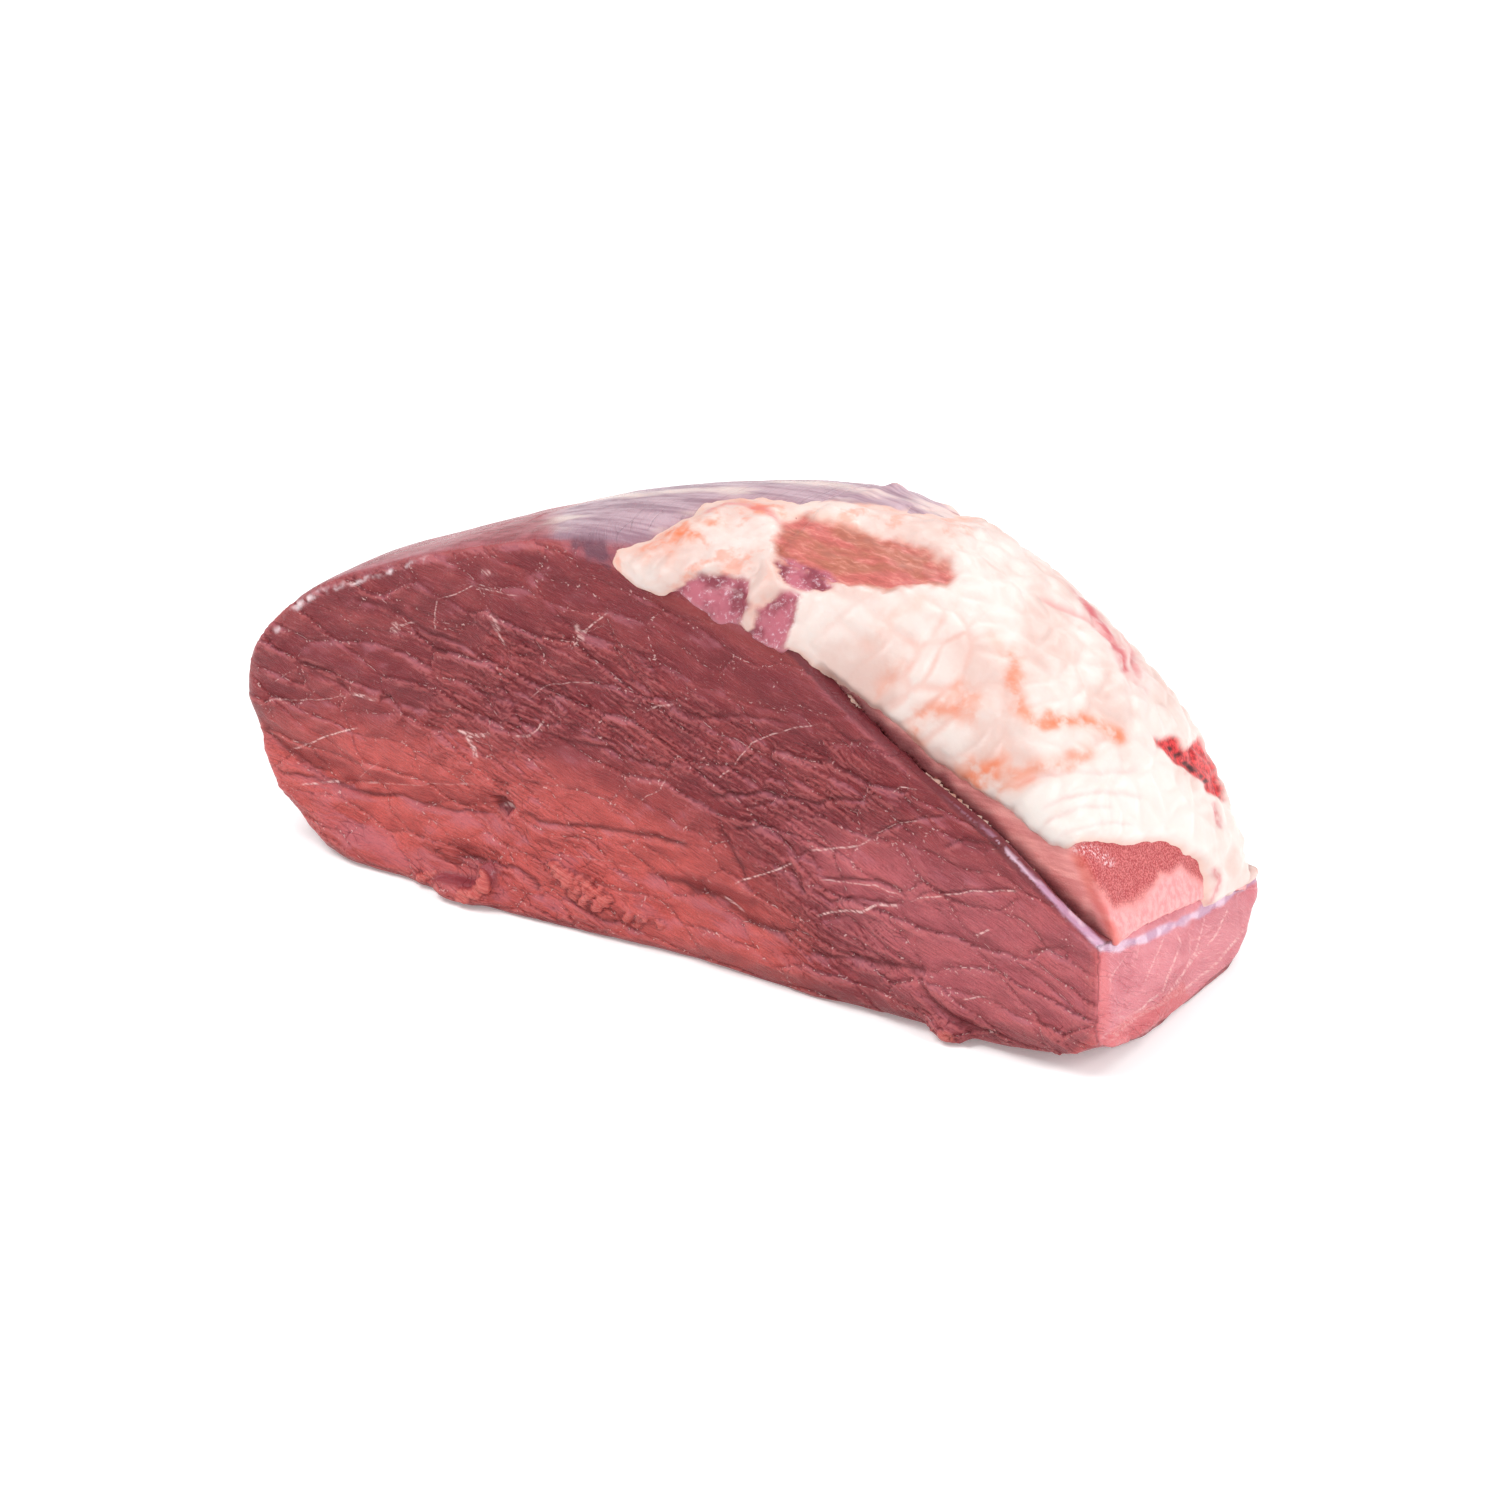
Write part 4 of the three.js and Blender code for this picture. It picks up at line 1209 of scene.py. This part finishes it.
def lean_edges(s, base, where):
    """The strips of another colour along the lean's edges, laid over its own, with painted shade in the
    seam's groove and a painted glint along the upper left edge.
    """
    cut = s.value("cut")
    border = s.times(cut, s.math("SUBTRACT", 1.0, cut))
    base = s.layered(
        base,
        (s.times(border, 1.6), (152, 62, 64)),
        (s.times(s.value("lip"), 0.7), (134, 48, 48)),
        # Painted shade in the seam's groove
        (s.times(s.value("groove"), 0.8), (92, 34, 42)),
        (s.times(s.value("bruise"), 0.85), (96, 58, 74)),
    )
    # A painted glint along the joint's upper left edge
    painted_shine = s.times(s.value("painted_glint"), s.ramp(s.noise(where, 160.0, 4.0), 0.38, 0.56))
    base = s.blend(s.times(painted_shine, 0.85), base, (242, 222, 226))
    milky = s.ramp(s.noise(where, 160.0, 2.0), 0.4, 0.6)
    lilac = s.blend(milky, (184, 140, 166), (216, 184, 202))
    return s.blend(s.value("rim"), base, lilac)


def lean_material():
    s = Shader("lean_meat")
    where = s.place()
    bundle = s.vector("bundle")
    strand = s.vector("strand")
    edge = s.edges(bundle)
    base = s.blend(s.value("deep"), (127, 36, 44), (123, 31, 39))
    base = s.blend(s.value("salmon"), base, (210, 92, 84))
    base = s.blend(s.value("light"), base, (186, 94, 102))
    clouds = s.noise(bundle, 0.9, 3.0)
    base = s.blend(s.ramp(clouds, 0.4, 0.7, 0.0, 0.3), base, (112, 34, 42))
    base = s.blend(s.ramp(clouds, 0.6, 0.3, 0.0, 0.25), base, (206, 100, 96))
    fibres = s.noise(s.scaled(strand, (2.5, 7.0, 1.0)), 1.0, 4.0, 0.65)
    base = s.blend(s.ramp(fibres, 0.3, 0.55, 0.6, 0.0), base, (108, 34, 42))
    base = s.blend(s.ramp(fibres, 0.52, 0.7, 0.0, 0.4), base, (190, 104, 112))
    grit = s.noise(where, 2600.0, 2.0)
    base = s.blend(s.ramp(grit, 0.35, 0.6, 0.25, 0.0), base, (110, 34, 40))
    # Painted shade along the bundles' edges, as in fine creases
    fading = s.noise(bundle, 1.3, 2.0)
    groove = s.times(s.ramp(edge, 0.0, 0.035, 1.0, 0.0), s.ramp(fading, 0.4, 0.62))
    base = s.blend(s.times(groove, 0.4), base, CREASE_SHADE_RED)
    base, tiny = deepened(s, base, s.value("rough"), strand, s.vector("wrinkle"))
    # Painted shade in the named creases and in the hole
    base = s.blend(s.times(s.value("crease_shade"), 0.6), base, (84, 22, 28))
    # Painted sheen on places that face up, painted shade on places that face down and in hollows, and a
    # painted highlight on bulging places
    patchy = s.noise(strand, 0.45, 3.0)
    painted_sheen = s.times(s.ramp(s.value("up"), 0.02, 0.35), s.ramp(patchy, 0.35, 0.6))
    base = s.layered(
        base,
        (s.times(painted_sheen, 0.45), (184, 108, 122)),
        (s.ramp(s.value("up"), 0.0, -0.45, 0.0, 0.4), (104, 34, 40)),
        (s.ramp(s.value("hollow"), 0.02, 0.14, 0.0, 0.4), (96, 26, 32)),
        (s.ramp(s.value("hollow"), -0.02, -0.1, 0.0, 0.28), (204, 112, 110)),
    )
    line, pale = pale_shares(s, edge, strand, where)
    base = s.blend(pale, base, PALE)
    loose = s.blend(s.ramp(fibres, 0.4, 0.6), (188, 78, 72), (214, 118, 108))
    base = s.blend(s.times(s.value("scrap"), 0.7), base, loose)
    flat = end_colour(s, clouds, fibres, edge, fading, line)
    base = s.blend(s.times(s.value("end"), 0.9), base, flat)
    # Painted glow along the rounded front edges, and the redder strip at the end face's foot
    base = s.blend(s.times(s.value("corner"), 0.5), base, (204, 92, 92))
    base = s.blend(s.value("cut"), skin_colour(s, where), base)
    base = lean_edges(s, base, where)
    height = s.math("ADD", s.times(fibres, 0.7), s.times(pale, 0.4))
    height = s.math("ADD", height, s.times(grit, 0.25))
    height = s.math("SUBTRACT", height, s.times(tiny, 0.4))
    return s.finish(
        Base_Color=base,
        Specular_IOR_Level=0.3,
        Roughness=s.ramp(s.value("cut"), 0.0, 1.0, 0.26, 0.3),
        Normal=s.bump(height, 0.0007, 0.8),
        Subsurface_Weight=0.1,
        Subsurface_Radius=(1.0, 0.25, 0.2),
        Subsurface_Scale=0.002,
    )


def bare_colour(s, base, where):
    """The colours of the membrane over the patches without fat, laid over the fat's own, with painted
    glints as pale spots on the purple membrane.
    """
    place = s.bent(s.vector("streak"), 5.0, 0.1)
    streaks = s.noise(s.scaled(place, (5.0, 20.0, 1.0)), 1.0, 5.0, 0.7)
    tint = s.noise(s.scaled(place, (2.0, 6.0, 1.0)), 1.0, 3.0)
    brown = s.blend(s.ramp(tint, 0.4, 0.6), (170, 100, 82), (188, 98, 92))
    brown = s.blend(s.ramp(streaks, 0.35, 0.56, 0.45, 0.0), brown, (136, 68, 58))
    brown = s.blend(s.ramp(streaks, 0.5, 0.72, 0.0, 0.55), brown, (218, 150, 138))
    base = s.blend(s.value("brown"), base, brown)
    # Painted glints as pale spots on the purple membrane
    dots = s.ramp(s.noise(where, 700.0, 5.0, 0.7), 0.52, 0.72)
    cloudy = s.ramp(s.noise(where, 160.0, 4.0), 0.36, 0.62)
    purple = s.blend(cloudy, (134, 62, 74), (178, 100, 114))
    purple = s.blend(s.times(dots, 0.7), purple, (222, 194, 204))
    return s.blend(s.value("purple"), base, purple)


def outer_colour(s, where):
    """The uncut surface of a muscle: long fibres under a thin skin that is paler in patches."""
    fibres = s.noise(s.scaled(where, (60, 420, 420)), 1.0, 4.0, 0.6)
    outer = s.blend(s.ramp(fibres, 0.35, 0.65), (136, 58, 66), (166, 90, 98))
    clouds = s.noise(s.scaled(where, (18, 34, 34)), 1.0, 4.0)
    outer = s.blend(s.ramp(clouds, 0.42, 0.7, 0.0, 0.6), outer, (186, 124, 132))
    threads = s.ramp(s.noise(s.scaled(where, (25, 260, 260)), 1.0, 5.0, 0.7), 0.6, 0.72)
    return s.blend(s.times(threads, 0.5), outer, (208, 168, 174))


def film_colour(s, where):
    """The bluish film's colours, in streaks along the joint with cream patches."""
    streaks = s.noise(s.scaled(where, (30, 260, 260)), 1.0, 4.0, 0.6)
    cream = s.noise(s.scaled(where, (34, 90, 90)), 1.0, 4.0)
    filmy = s.blend(s.ramp(streaks, 0.36, 0.64), (142, 108, 122), (182, 152, 162))
    return s.blend(s.ramp(cream, 0.48, 0.66, 0.0, 0.85), filmy, (216, 192, 186))


def skin_colour(s, where):
    """A muscle's uncut surface, with the film over it where there is some."""
    return s.blend(s.value("film"), outer_colour(s, where), film_colour(s, where))


def cap_material():
    s = Shader("cap_meat")
    where = s.place()
    grain = s.noise(s.scaled(where, (90.0, 500.0, 500.0)), 1.0, 3.0)
    # The cut band and cut end: the muscle's own pink, made paler as painted light where the band lies in
    # shade
    base = s.blend(s.ramp(grain, 0.3, 0.7), (240, 166, 160), (212, 128, 126))
    base = s.blend(s.value("cut"), outer_colour(s, where), base)
    # Painted shade in the open seam
    base = s.blend(s.times(s.value("seam"), 0.85), base, (96, 36, 44))
    dots = s.noise(where, 2200.0, 2.0)
    red = s.blend(s.ramp(dots, 0.42, 0.62), (158, 48, 52), (200, 104, 104))
    base = s.blend(s.value("grain_patch"), base, red)
    pale = s.blend(s.ramp(grain, 0.35, 0.65), (220, 134, 136), (230, 158, 158))
    base = s.blend(s.value("slope_patch"), base, pale)
    # A painted glint at the cut end's tip
    painted_shine = s.times(s.value("painted_glint"), s.ramp(s.noise(where, 1300.0, 3.0), 0.5, 0.62))
    base = s.layered(
        base,
        (s.times(painted_shine, 0.6), (240, 214, 218)),
        (s.times(s.value("ridge"), 0.6), (206, 92, 76)),
        (s.times(s.value("white_edge"), 0.8), (236, 212, 214)),
    )
    base = s.blend(s.value("film"), base, film_colour(s, where))
    # Painted shade in the hollows
    base = s.blend(s.ramp(s.value("hollow"), 0.01, 0.14, 0.0, 0.5), base, (110, 40, 46))
    return s.finish(
        Base_Color=base,
        Roughness=0.4,
        Specular_IOR_Level=0.4,
        Normal=s.bump(s.math("ADD", grain, dots), 0.0004, 0.5),
        Subsurface_Weight=0.15,
        Subsurface_Radius=(1.0, 0.35, 0.3),
        Subsurface_Scale=0.003,
    )


def fat_material():
    s = Shader("fat_layer")
    where = s.place()
    bent = s.bent(where, 70.0, 0.006)
    fading = s.noise(where, 45.0, 2.0)
    blobs = s.noise(bent, 60.0, 4.0)
    base = s.blend(s.ramp(blobs, 0.38, 0.62), (214, 199, 193), (205, 178, 170))
    base = s.blend(s.times(s.value("white"), 0.8), base, (218, 212, 207))
    frayed = s.ramp(s.noise(where, 400.0, 3.0), 0.0, 1.0, -0.06, 0.06)
    seam = s.math("ADD", s.edges(s.vector("lobule")), frayed)
    vein = s.times(s.ramp(seam, 0.0, 0.22, 1.0, 0.0), s.ramp(fading, 0.4, 0.6, 0.3, 1.0))
    vein = s.times(vein, s.ramp(s.value("net"), 0.0, 1.0, 0.08, 0.36))
    base = s.blend(vein, base, (214, 146, 130))
    broken = s.ramp(s.noise(bent, 260.0, 3.0), 0.3, 0.6, 0.25, 1.0)
    mottle = s.times(s.ramp(s.noise(bent, 130.0, 4.0, 0.6), 0.5, 0.64), s.value("mottled"))
    base = s.blend(s.times(mottle, 0.6), base, (216, 134, 110))
    stain = s.times(s.value("stain"), broken)
    base = s.layered(
        base,
        (stain, (212, 110, 66)),
        # Painted shade along the fat's folds, in pink
        (s.times(s.value("fold_shade"), 0.75), (200, 98, 100)),
        (s.times(s.value("pink"), broken), (190, 92, 98)),
        (s.ramp(s.value("edge_share"), 0.1, 1.0, 0.0, 0.6), (232, 176, 156)),
    )
    base = s.blend(s.value("veil"), base, skin_colour(s, where))
    base = bare_colour(s, base, where)
    speckle = s.noise(where, 900.0, 3.0)
    red = s.blend(s.ramp(speckle, 0.35, 0.6), (150, 22, 28), (208, 54, 56))
    base = s.blend(s.value("blood"), base, red)
    base = s.blend(s.value("clot"), base, (58, 14, 18))
    return s.finish(
        Base_Color=base,
        Roughness=s.ramp(s.value("purple"), 0.0, 1.0, 0.4, 0.22),
        Specular_IOR_Level=0.4,
        Normal=s.bump(s.noise(where, 300.0, 3.0), 0.0005, 0.45),
        Subsurface_Weight=0.25,
        Subsurface_Radius=(1.0, 0.5, 0.4),
        Subsurface_Scale=0.003,
    )


def floor_material():
    s = Shader("floor")
    where = s.place()
    tint = s.blend(s.noise(where, 3.0), (244, 244, 244), (248, 248, 248))
    return s.finish(Base_Color=tint, Roughness=0.6, Emission_Color=(1, 1, 1, 1), Emission_Strength=0.2)


# Stage

FLOOR_HALF = 6.0
LIT_AT = (0, 0, 0.05)


def add_camera():
    data = bpy.data.cameras.new("camera")
    data.lens = LENS
    data.sensor_width = SENSOR
    data.clip_start = 0.05
    camera = new_object("camera", data)
    camera.location = CAMERA_AT
    camera.rotation_euler = Vector(CAMERA_AIM - CAMERA_AT).to_track_quat("-Z", "Y").to_euler()
    bpy.context.scene.camera = camera


def add_floor():
    mesh = bpy.data.meshes.new("floor")
    sides = ((-1, -1), (1, -1), (1, 1), (-1, 1))
    corners = [(FLOOR_HALF * x, FLOOR_HALF * y, 0) for x, y in sides]
    mesh.from_pydata(corners, [], [(0, 1, 2, 3)])
    floor = new_object("floor", mesh)
    floor.data.materials.append(floor_material())


def add_light(name, at, size, power):
    """A softbox that faces the joint."""
    data = bpy.data.lights.new(name, "AREA")
    data.shape = "RECTANGLE"
    data.size = size[0]
    data.size_y = size[1]
    data.energy = power
    light = new_object(name, data)
    light.location = at
    light.rotation_euler = (Vector(LIT_AT) - Vector(at)).to_track_quat("-Z", "Y").to_euler()


def add_lights():
    world = bpy.data.worlds.new("world")
    world.use_nodes = True
    ground = world.node_tree.nodes["Background"]
    ground.inputs["Color"].default_value = (1, 1, 1, 1)
    ground.inputs["Strength"].default_value = 0.62
    bpy.context.scene.world = world
    add_light("softbox_above", (-0.45, -0.55, 1.25), (0.7, 0.7), 13)
    add_light("softbox_back", (0.3, 1.1, 1.1), (1.2, 0.6), 8)
    add_light("softbox_right", (1.2, 0.0, 0.7), (0.6, 0.6), 9)
    bpy.context.scene.view_settings.view_transform = "Standard"


def dress(obj, node, material):
    obj.data.materials.append(material)
    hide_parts(node)
    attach(obj, "root")


add_camera()
lean = shape_lean()
cap = shape_cap(lean)
fat = shape_fat([lean, cap])
dress(lean, "lean", lean_material())
dress(cap, "cap_muscle", cap_material())
dress(fat, "fat_cap", fat_material())
add_floor()
add_lights()
